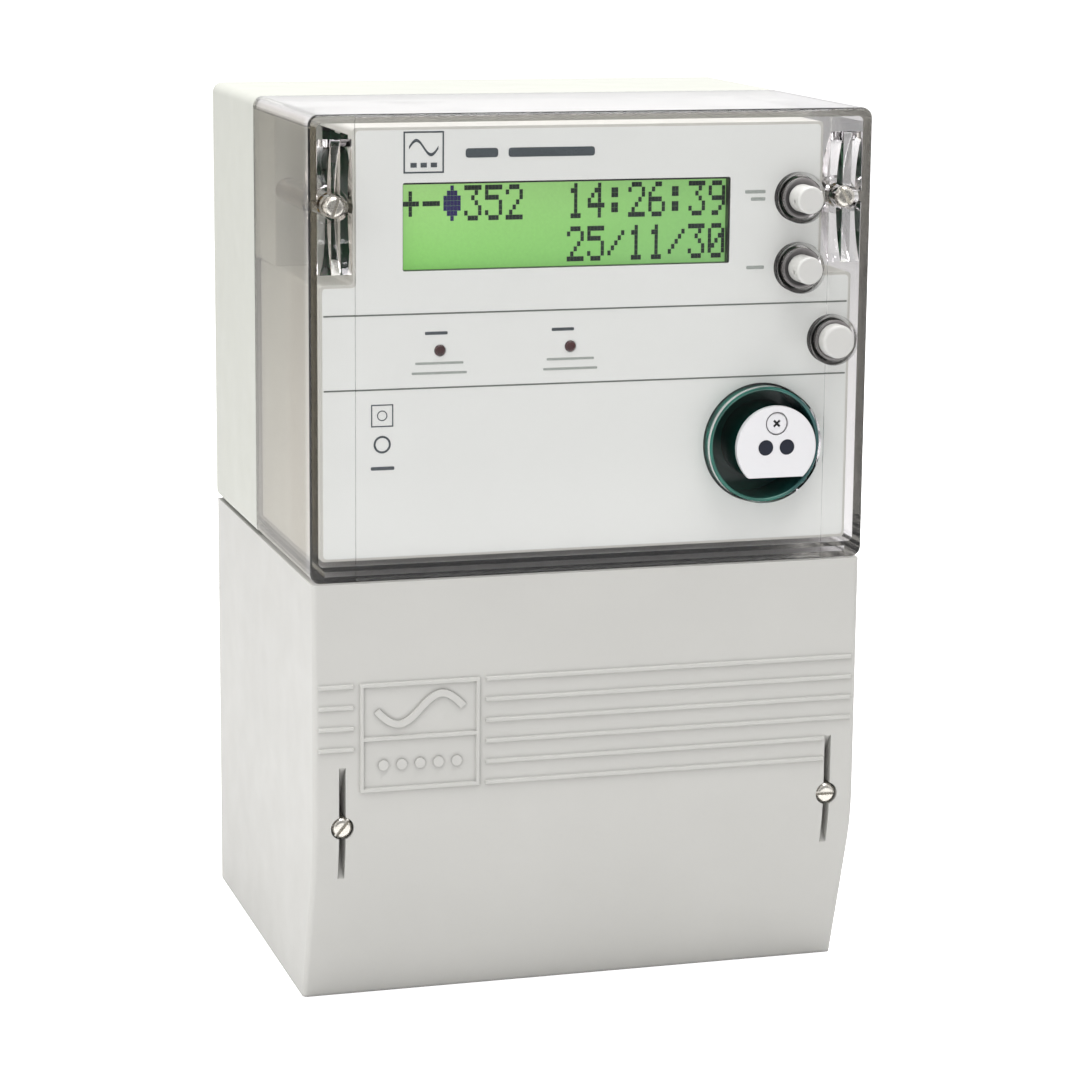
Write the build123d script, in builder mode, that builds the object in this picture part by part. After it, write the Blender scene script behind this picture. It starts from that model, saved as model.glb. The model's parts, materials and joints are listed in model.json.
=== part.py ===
from build123d import *
import os
from math import cos, radians, sin, tan

# Three-phase electricity meter for wall mounting, built from separate pieces.
#
# Frame: +X to the right as seen from the front, +Z up, the front faces -Y.
# The wall is the plane y = 0. The origin lies in that plane, on the centreline,
# level with the parting line between the clear cover and the terminal cover.
# A "depth" is a distance forward from the wall, so depth d is the plane y = -d.
# All lengths are millimetres.

# ---------------------------------------------------------------- outside
case_width = 165.0
case_top = 131.0  # height of the top above the parting line
case_bottom = -126.0
overall_depth = 138.0
base_depth = 63.0  # opaque housing; the clear cover starts here
corner_radius = 3.0
housing_wall = 2.5
back_thickness = 3.0

# ---------------------------------------------------------------- clear cover
clear_wall = 2.5
clear_rim = 4.6  # thick lower edge of the clear cover
rim_groove = 1.5
front_step_x = 69.6  # the outer strips of the front face are set back here
front_step = 0.5
clear_inner_front = overall_depth - clear_wall

# ---------------------------------------------------------------- panel carrier
carrier_half_width = 78.7
carrier_neck_half_width = 69.1  # above the shoulder, beside the screw wells
carrier_bottom = 5.4
carrier_top = 127.0
carrier_shoulder = 83.5
carrier_wall = 2.0
side_frame = 2.4  # frame left around the open sides of the neck
collar_front = 98.0  # the housing's inner collar ends and the panel begins
shoulder_floor = 85.0  # top of the bosses that take the cover screws
panel_face = 132.2
panel_back = panel_face - carrier_wall
label_thickness = 0.3

# ---------------------------------------------------------------- display
window_centre = (-6.9, 99.3)
window_size = (96.2, 24.6)
lcd_glass_face = 129.8
lcd_glass_thickness = 2.2
lcd_frame_size = (106.0, 34.0)
lcd_backlight_thickness = 4.6
board_thickness = 1.6
display_board_face = 116.4

# ---------------------------------------------------------------- pulse lamps
lamp_positions = [(-44.2, 64.5), (-6.0, 64.5)]
light_guide_radius = 1.6

# ---------------------------------------------------------------- push buttons
button_travel = 1.5
scroll_at = (61.7, 105.5)
select_at = (61.9, 85.4)
reset_at = (72.6, 64.2)
collar_rear = 124.0
collar_step = 132.6  # the collars are wider in front of this depth
collar_radius = 7.2
collar_bore_radius = 5.8
collar_web = 0.5  # floor that joins each collar to its narrower stem
collar_stem_radius = 6.0
collar_stem_bore_radius = 4.9
collar_floor = 1.5
seal_front = 137.0
seal_thickness = 1.3
stem_radius = 2.2
running_gap = 0.06

# ---------------------------------------------------------------- optical port
port_at = (55.2, 33.6)
well_at = (51.8, 34.5)  # the well is eccentric: its right side almost touches the head
well_radius = 16.8
well_wall = 1.0
well_rim = 137.3
well_floor = 123.0
well_base = 3.0
well_fit = 0.7  # gap to the panel's tube, taken up by a gasket
head_radius = 12.1
head_chord = 8.8  # the flat lies this far below the port's axis
head_thickness = 1.8
pedestal_inset = 0.3
ir_window_radius = 2.3
ir_window_pitch = 6.5
port_screw_above = 7.0
port_screw_recess = 1.2
port_screw_head = 1.0
port_hole_radius = 17.1

# ---------------------------------------------------------------- sealing screws
cover_screw_x = 75.0
cover_screw_z = 105.5
cover_well_size = (9.7, 42.0)
cover_well_sag = 10.0
cover_slot_width = 2.6
terminal_slot_x = 73.6
terminal_slot_z = -71.4
terminal_slot_length = 36.6
terminal_slot_width = 2.0
terminal_slot_sag = 9.0
seal_screw_head_radius = 3.1
seal_screw_head_top = 137.3
seal_screw_seat = 131.0
seal_screw_radius = 2.0
seal_screw_waist = 1.6
seal_screw_engaged = 11.0
seal_hole_radius = 0.9

# ---------------------------------------------------------------- terminal cover
terminal_inset = 0.45  # each side, inside the clear cover's outline
terminal_wall = 2.5
terminal_front = 137.5
parting_gap = 0.3
bend_start_z = -70.0  # below this the front turns back towards the wall
bend_radius = 60.0
bend_angle = 18.0
rib_pitch = 6.12
rib_width = 1.3
rib_height = 0.6
top_rib_z = -29.9
badge_left = -68.6
badge_right = -33.2
badge_bottom = -61.2
badge_divider = -45.6

# ---------------------------------------------------------------- terminals
terminal_count = 10
terminal_pitch = 13.0
cable_depth = 36.0
cable_radius = 3.5
block_half_width = 66.0
block_bottom = -46.0
block_front = 58.0
clamp_size = (9.4, 10.0, 26.0)
clamp_top = -14.0
clamp_screw_z = (-20.5, -33.5)
clamp_screw_radius = 1.95
clamp_screw_head_radius = 2.9
link_size = (6.0, 2.0)
transformer_z = 30.0

# ---------------------------------------------------------------- signal strip
strip_width = 64.0
strip_bottom = -12.5
strip_way_pitch = 5.0
strip_way_count = 12

# ---------------------------------------------------------------- fixings
hanger_z = 112.0
hanger_rivet_x = 11.0
hanger_rivet_radius = 1.2
hanger_recess = (30.0, 26.0)
hanger_hole_radius = 5.0
hanger_slot_width = 5.5
hanger_thickness = 1.5
fixing_spacing = 140.0
fixing_z = -106.0
fixing_radius = 3.0

# ---------------------------------------------------------------- boards
pillar_radius = 3.5
main_pillar_bore = 12.0
power_pillar_bore = 10.0
power_board_size = (116.0, 54.0)
power_board_z = 77.0
main_board_size = (132.0, 113.0)
main_board_z = 65.5
board_corner = 1.5
pan_head_radius = 2.7
pan_head_height = 1.8
cross_slot = (3.2, 0.7)
board_screw_length = 8.0
power_board_depth = 20.0
main_board_depth = 77.0
board_pillar_x = 62.0
board_pillar_z = (52.0, 116.0)
power_pillar_x = 50.0
power_pillar_z = (56.0, 98.0)
board_screw_radius = 1.45


def at_depth(depth):
    """Plane parallel to the wall; local x is +X, local y is +Z, normal faces the front."""
    return Plane.XZ.offset(depth)


def save(part, name):
    """Label one finished piece and write its file."""
    part.label = name
    export_step(part, f"parts/{name}.step")


def mirrored(x, z):
    """The same place on the left and on the right."""
    return [(-x, z), (x, z)]


def prism_group(places, size, start, end):
    """Equal rectangular blocks at several places, each a separate solid."""
    with BuildPart() as group:
        with BuildSketch(at_depth(start)):
            with Locations(places):
                Rectangle(*size)
        extrude(amount=end - start)
    return group.part


def pin_group(places, radius, start, end):
    """Equal round pins at several places, each a separate solid."""
    with BuildPart() as group:
        with BuildSketch(at_depth(start)):
            with Locations(places):
                Circle(radius)
        extrude(amount=end - start)
    return group.part


def ring(place, outer, inner, start, end):
    """Flat ring about an axis that points to the front."""
    with BuildPart() as body:
        with BuildSketch(at_depth(start)):
            with Locations(place):
                Circle(outer)
                Circle(inner, mode=Mode.SUBTRACT)
        extrude(amount=end - start)
    return body.part


def carrier_outline(inset):
    """Outline of the panel carrier: full width below the shoulder, narrow above it."""
    low = carrier_half_width - inset
    neck = carrier_neck_half_width - inset
    with BuildSketch() as outline:
        with BuildLine():
            Polyline(
                (-low, carrier_bottom + inset),
                (low, carrier_bottom + inset),
                (low, carrier_shoulder - inset),
                (neck, carrier_shoulder - inset),
                (neck, carrier_top - inset),
                (-neck, carrier_top - inset),
                (-neck, carrier_shoulder - inset),
                (-low, carrier_shoulder - inset),
                close=True,
            )
        make_face()
        fillet(outline.vertices(), 1.2)
    return outline.sketch


def side_openings():
    """Openings in both side walls of the carrier's neck, between the screw wells and the boards."""
    height = carrier_top - carrier_shoulder - 2 * side_frame
    with BuildSketch() as openings:
        with Locations((0, (carrier_top + carrier_shoulder) / 2)):
            Rectangle(2 * carrier_neck_half_width + 2, height)
            Rectangle(2 * (carrier_neck_half_width - carrier_wall - 1.6), height, mode=Mode.SUBTRACT)
    return openings.sketch


def arc_radius(chord, sag):
    """Radius of a disc that cuts a slot of this length and depth into a flat face."""
    return (chord ** 2 / 4 + sag ** 2) / (2 * sag)


def slot_disc(place, width, chord, sag, margin=0.0):
    """Disc that cuts an arc-bottomed seal slot; with a margin, the wall around the slot."""
    radius = arc_radius(chord, sag)
    disc_depth = overall_depth - sag + radius
    with BuildPart() as disc:
        with BuildSketch(Plane.YZ.offset(place[0] - width / 2)):
            with Locations((-disc_depth, place[1])):
                Circle(radius + margin)
        extrude(amount=width)
    return disc.part


os.makedirs("parts", exist_ok=True)

# ================================================================ base housing
case_height = case_top
inner_width = case_width - 2 * housing_wall
boss_left = carrier_neck_half_width
boss_width = carrier_half_width - boss_left
boss_centre_x = boss_left + boss_width / 2
boss_height = carrier_top - carrier_shoulder
boss_centre_z = carrier_shoulder + boss_height / 2
main_pillars = [(x, z) for z in board_pillar_z for x in (-board_pillar_x, board_pillar_x)]
power_pillars = [(x, z) for z in power_pillar_z for x in (-power_pillar_x, power_pillar_x)]
terminal_x = [(i - (terminal_count - 1) / 2) * terminal_pitch for i in range(terminal_count)]
link_x = [x for i, x in enumerate(terminal_x[:9]) if i % 3 != 1]
voltage_x = [terminal_x[i] for i in (1, 4, 7, 9)]
transformer_x = [terminal_x[i] for i in (1, 4, 7)]
plate_half_width = case_width / 2 - terminal_inset - terminal_wall - 0.2

with BuildPart() as base_housing:
    # upper box, open to the front
    with BuildSketch(at_depth(0)):
        with Locations((0, case_height / 2)):
            RectangleRounded(case_width, case_height, corner_radius)
    extrude(amount=base_depth)
    back_edges = base_housing.edges().group_by(Axis.Y)[-1]
    fillet(back_edges, 1.0)
    with BuildSketch(at_depth(back_thickness)):
        with Locations((0, case_height / 2)):
            RectangleRounded(inner_width, case_height - 2 * housing_wall, corner_radius - 1)
    extrude(amount=base_depth, mode=Mode.SUBTRACT)
    # ledge that carries the inner collar
    with BuildSketch(at_depth(base_depth - 5)):
        with Locations((0, case_height / 2)):
            Rectangle(inner_width + 1, case_height - 2 * housing_wall + 1)
        add(carrier_outline(carrier_wall), mode=Mode.SUBTRACT)
    extrude(amount=5)
    # collar that the panel carrier plugs into
    with BuildSketch(at_depth(base_depth - 1)):
        add(carrier_outline(0))
        add(carrier_outline(carrier_wall), mode=Mode.SUBTRACT)
    extrude(amount=collar_front - base_depth + 1)
    # bosses for the two cover screws, in the shoulders of the collar
    with BuildSketch(at_depth(base_depth - 5)):
        with Locations(*mirrored(boss_centre_x, boss_centre_z)):
            Rectangle(boss_width, boss_height)
    extrude(amount=shoulder_floor - base_depth + 5)
    with BuildSketch(at_depth(shoulder_floor - seal_screw_engaged)):
        with Locations(*mirrored(cover_screw_x, cover_screw_z)):
            Circle(3.0)
    extrude(amount=seal_screw_engaged, mode=Mode.SUBTRACT)
    # the collar's side walls are open above the bosses
    with BuildSketch(at_depth(shoulder_floor + 1)):
        add(side_openings())
    extrude(amount=collar_front - shoulder_floor, mode=Mode.SUBTRACT)
    # pillars for the boards
    with BuildSketch(at_depth(back_thickness)):
        with Locations(*main_pillars):
            Circle(pillar_radius)
    extrude(amount=main_board_depth - back_thickness)
    with BuildSketch(at_depth(back_thickness)):
        with Locations(*power_pillars):
            Circle(pillar_radius)
    extrude(amount=power_board_depth - back_thickness)
    with BuildSketch(at_depth(main_board_depth - main_pillar_bore)):
        with Locations(*main_pillars):
            Circle(board_screw_radius)
    extrude(amount=main_pillar_bore, mode=Mode.SUBTRACT)
    with BuildSketch(at_depth(power_board_depth - power_pillar_bore)):
        with Locations(*power_pillars):
            Circle(board_screw_radius)
    extrude(amount=power_pillar_bore, mode=Mode.SUBTRACT)
    # back plate behind the terminals, with two guide ribs for the terminal cover
    with BuildSketch(at_depth(0)):
        with Locations((0, case_bottom / 2)):
            Rectangle(2 * plate_half_width, -case_bottom)
    extrude(amount=back_thickness)
    with BuildSketch(at_depth(back_thickness)):
        with Locations(*mirrored(plate_half_width - 1, case_bottom / 2)):
            Rectangle(2.0, -case_bottom)
    extrude(amount=9)
    with BuildSketch(at_depth(0)):
        with Locations(*mirrored(fixing_spacing / 2, fixing_z)):
            Circle(fixing_radius)
    extrude(amount=back_thickness, mode=Mode.SUBTRACT)
    # openings in the floor for the current links and the voltage pins
    with BuildSketch(Plane.XY.offset(-1)):
        with Locations(*[(x, -cable_depth) for x in link_x]):
            Rectangle(link_size[0] + 1, link_size[1] + 1)
        with Locations(*[(x, -cable_depth) for x in voltage_x]):
            Circle(1.6)
    extrude(amount=housing_wall + 2, mode=Mode.SUBTRACT)
    # recess behind the hanger plate
    with BuildSketch(at_depth(0)):
        with Locations((0, hanger_z)):
            RectangleRounded(hanger_recess[0], hanger_recess[1], 2)
    extrude(amount=hanger_thickness, mode=Mode.SUBTRACT)
    with BuildSketch(at_depth(back_thickness)):
        with Locations((0, hanger_z + 1)):
            Rectangle(17, 22)
    extrude(amount=8)
    with BuildSketch(at_depth(hanger_thickness)):
        with Locations((0, hanger_z + 1)):
            Rectangle(13, 18)
    extrude(amount=back_thickness + 6 - hanger_thickness, mode=Mode.SUBTRACT)
    with BuildSketch(at_depth(hanger_thickness)):
        with Locations(*mirrored(hanger_rivet_x, hanger_z)):
            Circle(1.2)
    extrude(amount=back_thickness, mode=Mode.SUBTRACT)
save(base_housing.part, "base_housing")

# ---------------------------------------------------------------- hanger
with BuildPart() as hanger_plate:
    with BuildSketch(at_depth(0)):
        with Locations((0, hanger_z)):
            RectangleRounded(hanger_recess[0] - 0.6, hanger_recess[1] - 0.6, 1.8)
            Circle(hanger_hole_radius, mode=Mode.SUBTRACT)
        with Locations((0, hanger_z + hanger_hole_radius)):
            SlotOverall(8, hanger_slot_width, rotation=90, mode=Mode.SUBTRACT)
        with Locations(*mirrored(hanger_rivet_x, hanger_z)):
            Circle(1.3, mode=Mode.SUBTRACT)
    extrude(amount=hanger_thickness)
save(hanger_plate.part, "hanger_plate")

with BuildPart() as hanger_rivets:
    with BuildSketch(at_depth(0)):
        with Locations(*mirrored(hanger_rivet_x, hanger_z)):
            Circle(1.2)
    extrude(amount=hanger_thickness + 1.5)
    with BuildSketch(at_depth(hanger_thickness + 1.5)):
        with Locations(*mirrored(hanger_rivet_x, hanger_z)):
            Circle(1.2)
    extrude(amount=1.5)
    with BuildSketch(at_depth(back_thickness)):
        with Locations(*mirrored(hanger_rivet_x, hanger_z)):
            Circle(2.0)
    extrude(amount=0.8)
save(hanger_rivets.part, "hanger_rivets")

# ---------------------------------------------------------------- gasket of the clear cover
with BuildPart() as cover_gasket:
    with BuildSketch(at_depth(base_depth)):
        with Locations((0, clear_rim + 0.1 + case_height / 2)):
            RectangleRounded(inner_width - 0.2, case_height, 1.7)
        add(carrier_outline(-0.1), mode=Mode.SUBTRACT)
        with Locations((0, carrier_shoulder + case_height / 2)):
            Rectangle(case_width, case_height, mode=Mode.SUBTRACT)
    extrude(amount=1.6)
save(cover_gasket.part, "cover_gasket")

# ---------------------------------------------------------------- threaded inserts
with BuildPart() as cover_inserts:
    with BuildSketch(at_depth(shoulder_floor - seal_screw_engaged)):
        with Locations(*mirrored(cover_screw_x, cover_screw_z)):
            Circle(3.0)
            Circle(seal_screw_radius + running_gap, mode=Mode.SUBTRACT)
    extrude(amount=seal_screw_engaged)
save(cover_inserts.part, "cover_inserts")

# ---------------------------------------------------------------- brass pillars for the terminal cover
pillar_top = seal_screw_seat - 12.5
with BuildPart() as cover_pillars:
    with BuildSketch(at_depth(back_thickness)):
        with Locations(*mirrored(terminal_slot_x, terminal_slot_z)):
            RegularPolygon(3.2, 6)
    extrude(amount=pillar_top - back_thickness)
    with BuildSketch(at_depth(pillar_top - seal_screw_engaged)):
        with Locations(*mirrored(terminal_slot_x, terminal_slot_z)):
            Circle(seal_screw_radius + running_gap)
    extrude(amount=seal_screw_engaged, mode=Mode.SUBTRACT)
save(cover_pillars.part, "cover_pillars")

# ================================================================ terminals
clamp_bottom = clamp_top - clamp_size[2]
clamp_rear = cable_depth - clamp_size[1] / 2
clamp_front = cable_depth + clamp_size[1] / 2
clamp_screw_places = [(x, z) for x in terminal_x for z in clamp_screw_z]
clamp_screw_tip = cable_depth + cable_radius + 0.2
clamp_screw_seat = block_front - 6.0
pocket_clearance = 0.2

with BuildPart() as terminal_block:
    with BuildSketch(at_depth(back_thickness)):
        with Locations((0, block_bottom / 2)):
            RectangleRounded(2 * block_half_width, -block_bottom, 1.5)
    extrude(amount=block_front - back_thickness)
    # pockets that hold the clamps
    with BuildSketch(Plane.XY.offset(clamp_bottom - pocket_clearance)):
        with Locations(*[(x, -cable_depth) for x in terminal_x]):
            Rectangle(clamp_size[0] + 2 * pocket_clearance, clamp_size[1] + 2 * pocket_clearance)
    extrude(amount=clamp_size[2] + 2 * pocket_clearance, mode=Mode.SUBTRACT)
    # cable entries from below, and ways up for links and pins
    with BuildSketch(Plane.XY.offset(block_bottom)):
        with Locations(*[(x, -cable_depth) for x in terminal_x]):
            Circle(cable_radius + 0.6)
    extrude(amount=clamp_bottom - block_bottom, mode=Mode.SUBTRACT)
    with BuildSketch(Plane.XY.offset(clamp_top)):
        with Locations(*[(x, -cable_depth) for x in link_x]):
            Rectangle(link_size[0] + 1, link_size[1] + 1)
        with Locations(*[(x, -cable_depth) for x in voltage_x]):
            Circle(1.6)
    extrude(amount=-clamp_top, mode=Mode.SUBTRACT)
    # access to the clamp screws from the front
    with BuildSketch(at_depth(clamp_front)):
        with Locations(*clamp_screw_places):
            Circle(clamp_screw_radius + 0.3)
    extrude(amount=block_front - clamp_front, mode=Mode.SUBTRACT)
    with BuildSketch(at_depth(clamp_screw_seat)):
        with Locations(*clamp_screw_places):
            Circle(clamp_screw_head_radius + 0.3)
    extrude(amount=block_front - clamp_screw_seat, mode=Mode.SUBTRACT)
save(terminal_block.part, "terminal_block")

with BuildPart() as terminal_clamps:
    with BuildSketch(Plane.XY.offset(clamp_bottom)):
        with Locations(*[(x, -cable_depth) for x in terminal_x]):
            Rectangle(clamp_size[0], clamp_size[1])
            Circle(cable_radius, mode=Mode.SUBTRACT)
    extrude(amount=clamp_size[2])
    with BuildSketch(at_depth(cable_depth)):
        with Locations(*clamp_screw_places):
            Circle(clamp_screw_radius)
    extrude(amount=clamp_size[1] / 2, mode=Mode.SUBTRACT)
save(terminal_clamps.part, "terminal_clamps")

with BuildPart() as terminal_screws:
    with BuildSketch(at_depth(clamp_screw_tip)):
        with Locations(*clamp_screw_places):
            Circle(clamp_screw_radius)
    extrude(amount=clamp_screw_seat - clamp_screw_tip)
    with BuildSketch(at_depth(clamp_screw_seat)):
        with Locations(*clamp_screw_places):
            Circle(clamp_screw_head_radius)
    extrude(amount=3)
    with BuildSketch(at_depth(clamp_screw_seat + 1.6)):
        with Locations(*clamp_screw_places):
            Rectangle(2 * clamp_screw_head_radius, 0.9)
            Rectangle(0.9, 2 * clamp_screw_head_radius)
    extrude(amount=1.4, mode=Mode.SUBTRACT)
save(terminal_screws.part, "terminal_screws")

with BuildPart() as current_links:
    with BuildSketch(Plane.XY.offset(clamp_top)):
        with Locations(*[(x, -cable_depth) for x in link_x]):
            Rectangle(*link_size)
    extrude(amount=transformer_z - clamp_top)
    with BuildSketch(at_depth(cable_depth - link_size[1] / 2)):
        with Locations(*[(x, transformer_z) for x in transformer_x]):
            RectangleRounded(2 * terminal_pitch + link_size[0], link_size[0], 1.5)
    extrude(amount=link_size[1])
save(current_links.part, "current_links")

toroid_radius = 14.0
toroid_bore_radius = 6.5
toroid_width = 9.0
with BuildPart() as current_transformers:
    for x in transformer_x:
        with BuildSketch(Plane.YZ.offset(x - toroid_width / 2)):
            with Locations((-cable_depth, transformer_z)):
                Circle(toroid_radius)
                Circle(toroid_bore_radius, mode=Mode.SUBTRACT)
        extrude(amount=toroid_width)
    rims = current_transformers.edges().filter_by(GeomType.CIRCLE)
    fillet(rims, 2.0)
save(current_transformers.part, "current_transformers")

# insulated wires from the voltage terminals to the main board
wire_radius = 0.9
wire_turn_z = 10.0
with BuildPart() as voltage_leads:
    for x in voltage_x:
        with BuildLine():
            lead = FilletPolyline(
                (x, -cable_depth, clamp_top),
                (x, -cable_depth, wire_turn_z),
                (x, -main_board_depth + 8, wire_turn_z),
                (x, -main_board_depth + 8, wire_turn_z + 7),
                (x, -main_board_depth, wire_turn_z + 7),
                radius=2.5,
            )
        with BuildSketch(Plane(lead @ 0, z_dir=lead % 0)):
            Circle(wire_radius)
        sweep(path=lead)
save(voltage_leads.part, "voltage_leads")

with BuildPart() as transformer_leads:
    for x in transformer_x:
        for side in (-1, 1):
            start_x = x + side * 1.6
            with BuildLine():
                lead = FilletPolyline(
                    (start_x, -cable_depth - toroid_radius, transformer_z),
                    (start_x, -main_board_depth + 12, transformer_z),
                    (start_x, -main_board_depth + 12, transformer_z + 12),
                    (start_x, -main_board_depth, transformer_z + 12),
                    radius=3,
                )
            with BuildSketch(Plane(lead @ 0, z_dir=lead % 0)):
                Circle(0.7)
            sweep(path=lead)
save(transformer_leads.part, "transformer_leads")

# pluggable strip for pulse outputs and data lines, on the front of the terminal block
strip_middle = (strip_way_count - 1) / 2
strip_z = strip_bottom / 2 - 0.4
strip_ways = [((i - strip_middle) * strip_way_pitch, strip_z) for i in range(strip_way_count)]
with BuildPart() as signal_terminals:
    with BuildSketch(at_depth(block_front)):
        with Locations((0, strip_z)):
            Rectangle(strip_width, -strip_bottom - 0.6)
    extrude(amount=12)
    with BuildSketch(at_depth(block_front + 6)):
        with Locations(*strip_ways):
            Circle(1.5)
    extrude(amount=6, mode=Mode.SUBTRACT)
    # wire entries, open at the bottom and up into the screw holes
    with BuildSketch(Plane.XY.offset(strip_bottom - 1)):
        with Locations(*[(x, -block_front - 8.5) for x, z in strip_ways]):
            Rectangle(3, 3)
    extrude(amount=strip_z - strip_bottom + 1, mode=Mode.SUBTRACT)
save(signal_terminals.part, "signal_terminals")

# ================================================================ boards inside
with BuildPart() as power_board:
    with BuildSketch(at_depth(power_board_depth)):
        with Locations((0, power_board_z)):
            RectangleRounded(power_board_size[0], power_board_size[1], board_corner)
        with Locations(*power_pillars):
            Circle(board_screw_radius + 0.15, mode=Mode.SUBTRACT)
    extrude(amount=board_thickness)
save(power_board.part, "power_board")
power_front = power_board_depth + board_thickness

# laminated core around a taped coil
power_transformer_at = (-26.0, power_board_z)
core_size = (34.0, 40.0)
core_height = 30.0
coil_size = (42.0, 28.0)
coil_height = 24.0
with BuildPart() as power_transformer:
    with BuildSketch(at_depth(power_front)):
        with Locations(power_transformer_at):
            RectangleRounded(core_size[0], core_size[1], 1)
    extrude(amount=core_height)
    with BuildSketch(at_depth(power_front + (core_height - coil_height) / 2)):
        with Locations(power_transformer_at):
            RectangleRounded(coil_size[0], coil_size[1], 3)
    extrude(amount=coil_height)
save(power_transformer.part, "power_transformer")

capacitor_places = [(12, 90), (12, 68)]
capacitor_radius = 8.0
capacitor_height = 25.0
with BuildPart() as reservoir_capacitors:
    with BuildSketch(at_depth(power_front)):
        with Locations(*capacitor_places):
            Circle(capacitor_radius)
    extrude(amount=capacitor_height)
    caps_top = reservoir_capacitors.edges().filter_by(GeomType.CIRCLE)
    fillet(caps_top, 1.0)
save(reservoir_capacitors.part, "reservoir_capacitors")

arrester_x = 30.0
arrester_radius = 7.0
arrester_thickness = 4.0
with BuildPart() as surge_arresters:
    for z in (62, 76, 90):
        with BuildSketch(Plane.YZ.offset(arrester_x)):
            with Locations((-power_front - arrester_radius, z)):
                Circle(arrester_radius)
        extrude(amount=arrester_thickness)
save(surge_arresters.part, "surge_arresters")

with BuildPart() as main_board:
    with BuildSketch(at_depth(main_board_depth)):
        with Locations((0, main_board_z)):
            RectangleRounded(main_board_size[0], main_board_size[1], board_corner)
        with Locations(*main_pillars):
            Circle(1.6, mode=Mode.SUBTRACT)
    extrude(amount=board_thickness)
save(main_board.part, "main_board")
main_front = main_board_depth + board_thickness

chip_blocks = [
    ((-30, 78), (20, 20), 1.6),
    ((6, 92), (14, 10), 1.8),
    ((6, 74), (10, 7), 1.6),
    ((-30, 40), (14, 14), 1.6),
]
with BuildPart() as board_chips:
    for place, size, height in chip_blocks:
        with BuildSketch(at_depth(main_front)):
            with Locations(place):
                Rectangle(*size)
        extrude(amount=height)
save(board_chips.part, "board_chips")

battery_place = (38.0, 84.0)
with BuildPart() as backup_battery:
    with BuildSketch(Plane.XY.offset(battery_place[1] - 12)):
        with Locations((battery_place[0], -main_front - 9)):
            Circle(7.2)
    extrude(amount=25)
    fillet(backup_battery.edges().filter_by(GeomType.CIRCLE), 0.8)
save(backup_battery.part, "backup_battery")

with BuildPart() as battery_holder:
    with BuildSketch(at_depth(main_front)):
        with Locations((battery_place[0], battery_place[1] + 0.5)):
            Rectangle(18, 31)
    extrude(amount=9)
    with BuildSketch(Plane.XY.offset(battery_place[1] - 12.3)):
        with Locations((battery_place[0], -main_front - 9)):
            Circle(7.4)
    extrude(amount=25.6, mode=Mode.SUBTRACT)
save(battery_holder.part, "battery_holder")

supercap_place = (38.0, 44.0)
save(pin_group([supercap_place], 10.5, main_front, main_front + 9), "supercapacitor")

# pan-head screws of the two boards
with BuildPart() as board_screws:
    for places, seat in ((main_pillars, main_front), (power_pillars, power_front)):
        with BuildSketch(at_depth(seat - board_screw_length)):
            with Locations(*places):
                Circle(board_screw_radius)
        extrude(amount=board_screw_length)
        with BuildSketch(at_depth(seat)):
            with Locations(*places):
                Circle(pan_head_radius)
        extrude(amount=pan_head_height)
        with BuildSketch(at_depth(seat + pan_head_height / 2)):
            with Locations(*places):
                Rectangle(cross_slot[0], cross_slot[1])
                Rectangle(cross_slot[1], cross_slot[0])
        extrude(amount=pan_head_height / 2, mode=Mode.SUBTRACT)
save(board_screws.part, "board_screws")

# ================================================================ display and panel
board_post_places = [(-63.5, 118), (63.5, 118), (-70, 12), (70, 12)]
button_places = [scroll_at, select_at, reset_at]
lcd_frame_back = lcd_glass_face - lcd_glass_thickness - lcd_backlight_thickness - 1
lcd_frame_front = lcd_glass_face + 0.3

with BuildPart() as front_panel:
    # tray: side walls, front plate and a lip that plugs into the housing's collar
    with BuildSketch(at_depth(collar_front)):
        add(carrier_outline(0))
        add(carrier_outline(carrier_wall), mode=Mode.SUBTRACT)
    extrude(amount=panel_back - collar_front)
    with BuildSketch(at_depth(collar_front - 3)):
        add(carrier_outline(carrier_wall + 0.15))
        add(carrier_outline(carrier_wall + 1.5), mode=Mode.SUBTRACT)
    extrude(amount=6)
    with BuildSketch(at_depth(collar_front)):
        add(carrier_outline(carrier_wall - 0.1))
        add(carrier_outline(carrier_wall + 1.5), mode=Mode.SUBTRACT)
    extrude(amount=3)
    with BuildSketch(at_depth(panel_back)):
        add(carrier_outline(0))
    extrude(amount=carrier_wall)
    # posts that hold the display board
    with BuildSketch(at_depth(display_board_face)):
        with Locations(*board_post_places):
            Circle(3.2)
    extrude(amount=panel_back - display_board_face)
    # openings
    with BuildSketch(at_depth(display_board_face)):
        with Locations(*board_post_places):
            Circle(board_screw_radius)
    extrude(amount=8, mode=Mode.SUBTRACT)
    with BuildSketch(at_depth(panel_back)):
        with Locations(window_centre):
            RectangleRounded(window_size[0], window_size[1], 0.6)
        with Locations(*lamp_positions):
            Circle(light_guide_radius + 0.1)
        with Locations(well_at):
            Circle(well_radius + well_fit)
    extrude(amount=carrier_wall, mode=Mode.SUBTRACT)
    with BuildSketch(at_depth(collar_rear - 0.5)):
        with Locations(*button_places):
            Circle(collar_stem_radius + 0.3)
    extrude(amount=panel_face - collar_rear + 0.5, mode=Mode.SUBTRACT)
    # seats for the flange of the port well and for the display frame
    with BuildSketch(at_depth(well_floor - well_base)):
        with Locations(well_at):
            Circle(well_radius + 2.6)
            Circle(well_radius + well_fit, mode=Mode.SUBTRACT)
    extrude(amount=panel_back - well_floor + well_base)
    # open sides beside the screw wells
    with BuildSketch(at_depth(collar_front - 4)):
        add(side_openings())
    extrude(amount=panel_back - 1.5 * side_frame - collar_front + 4, mode=Mode.SUBTRACT)
save(front_panel.part, "front_panel")

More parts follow.
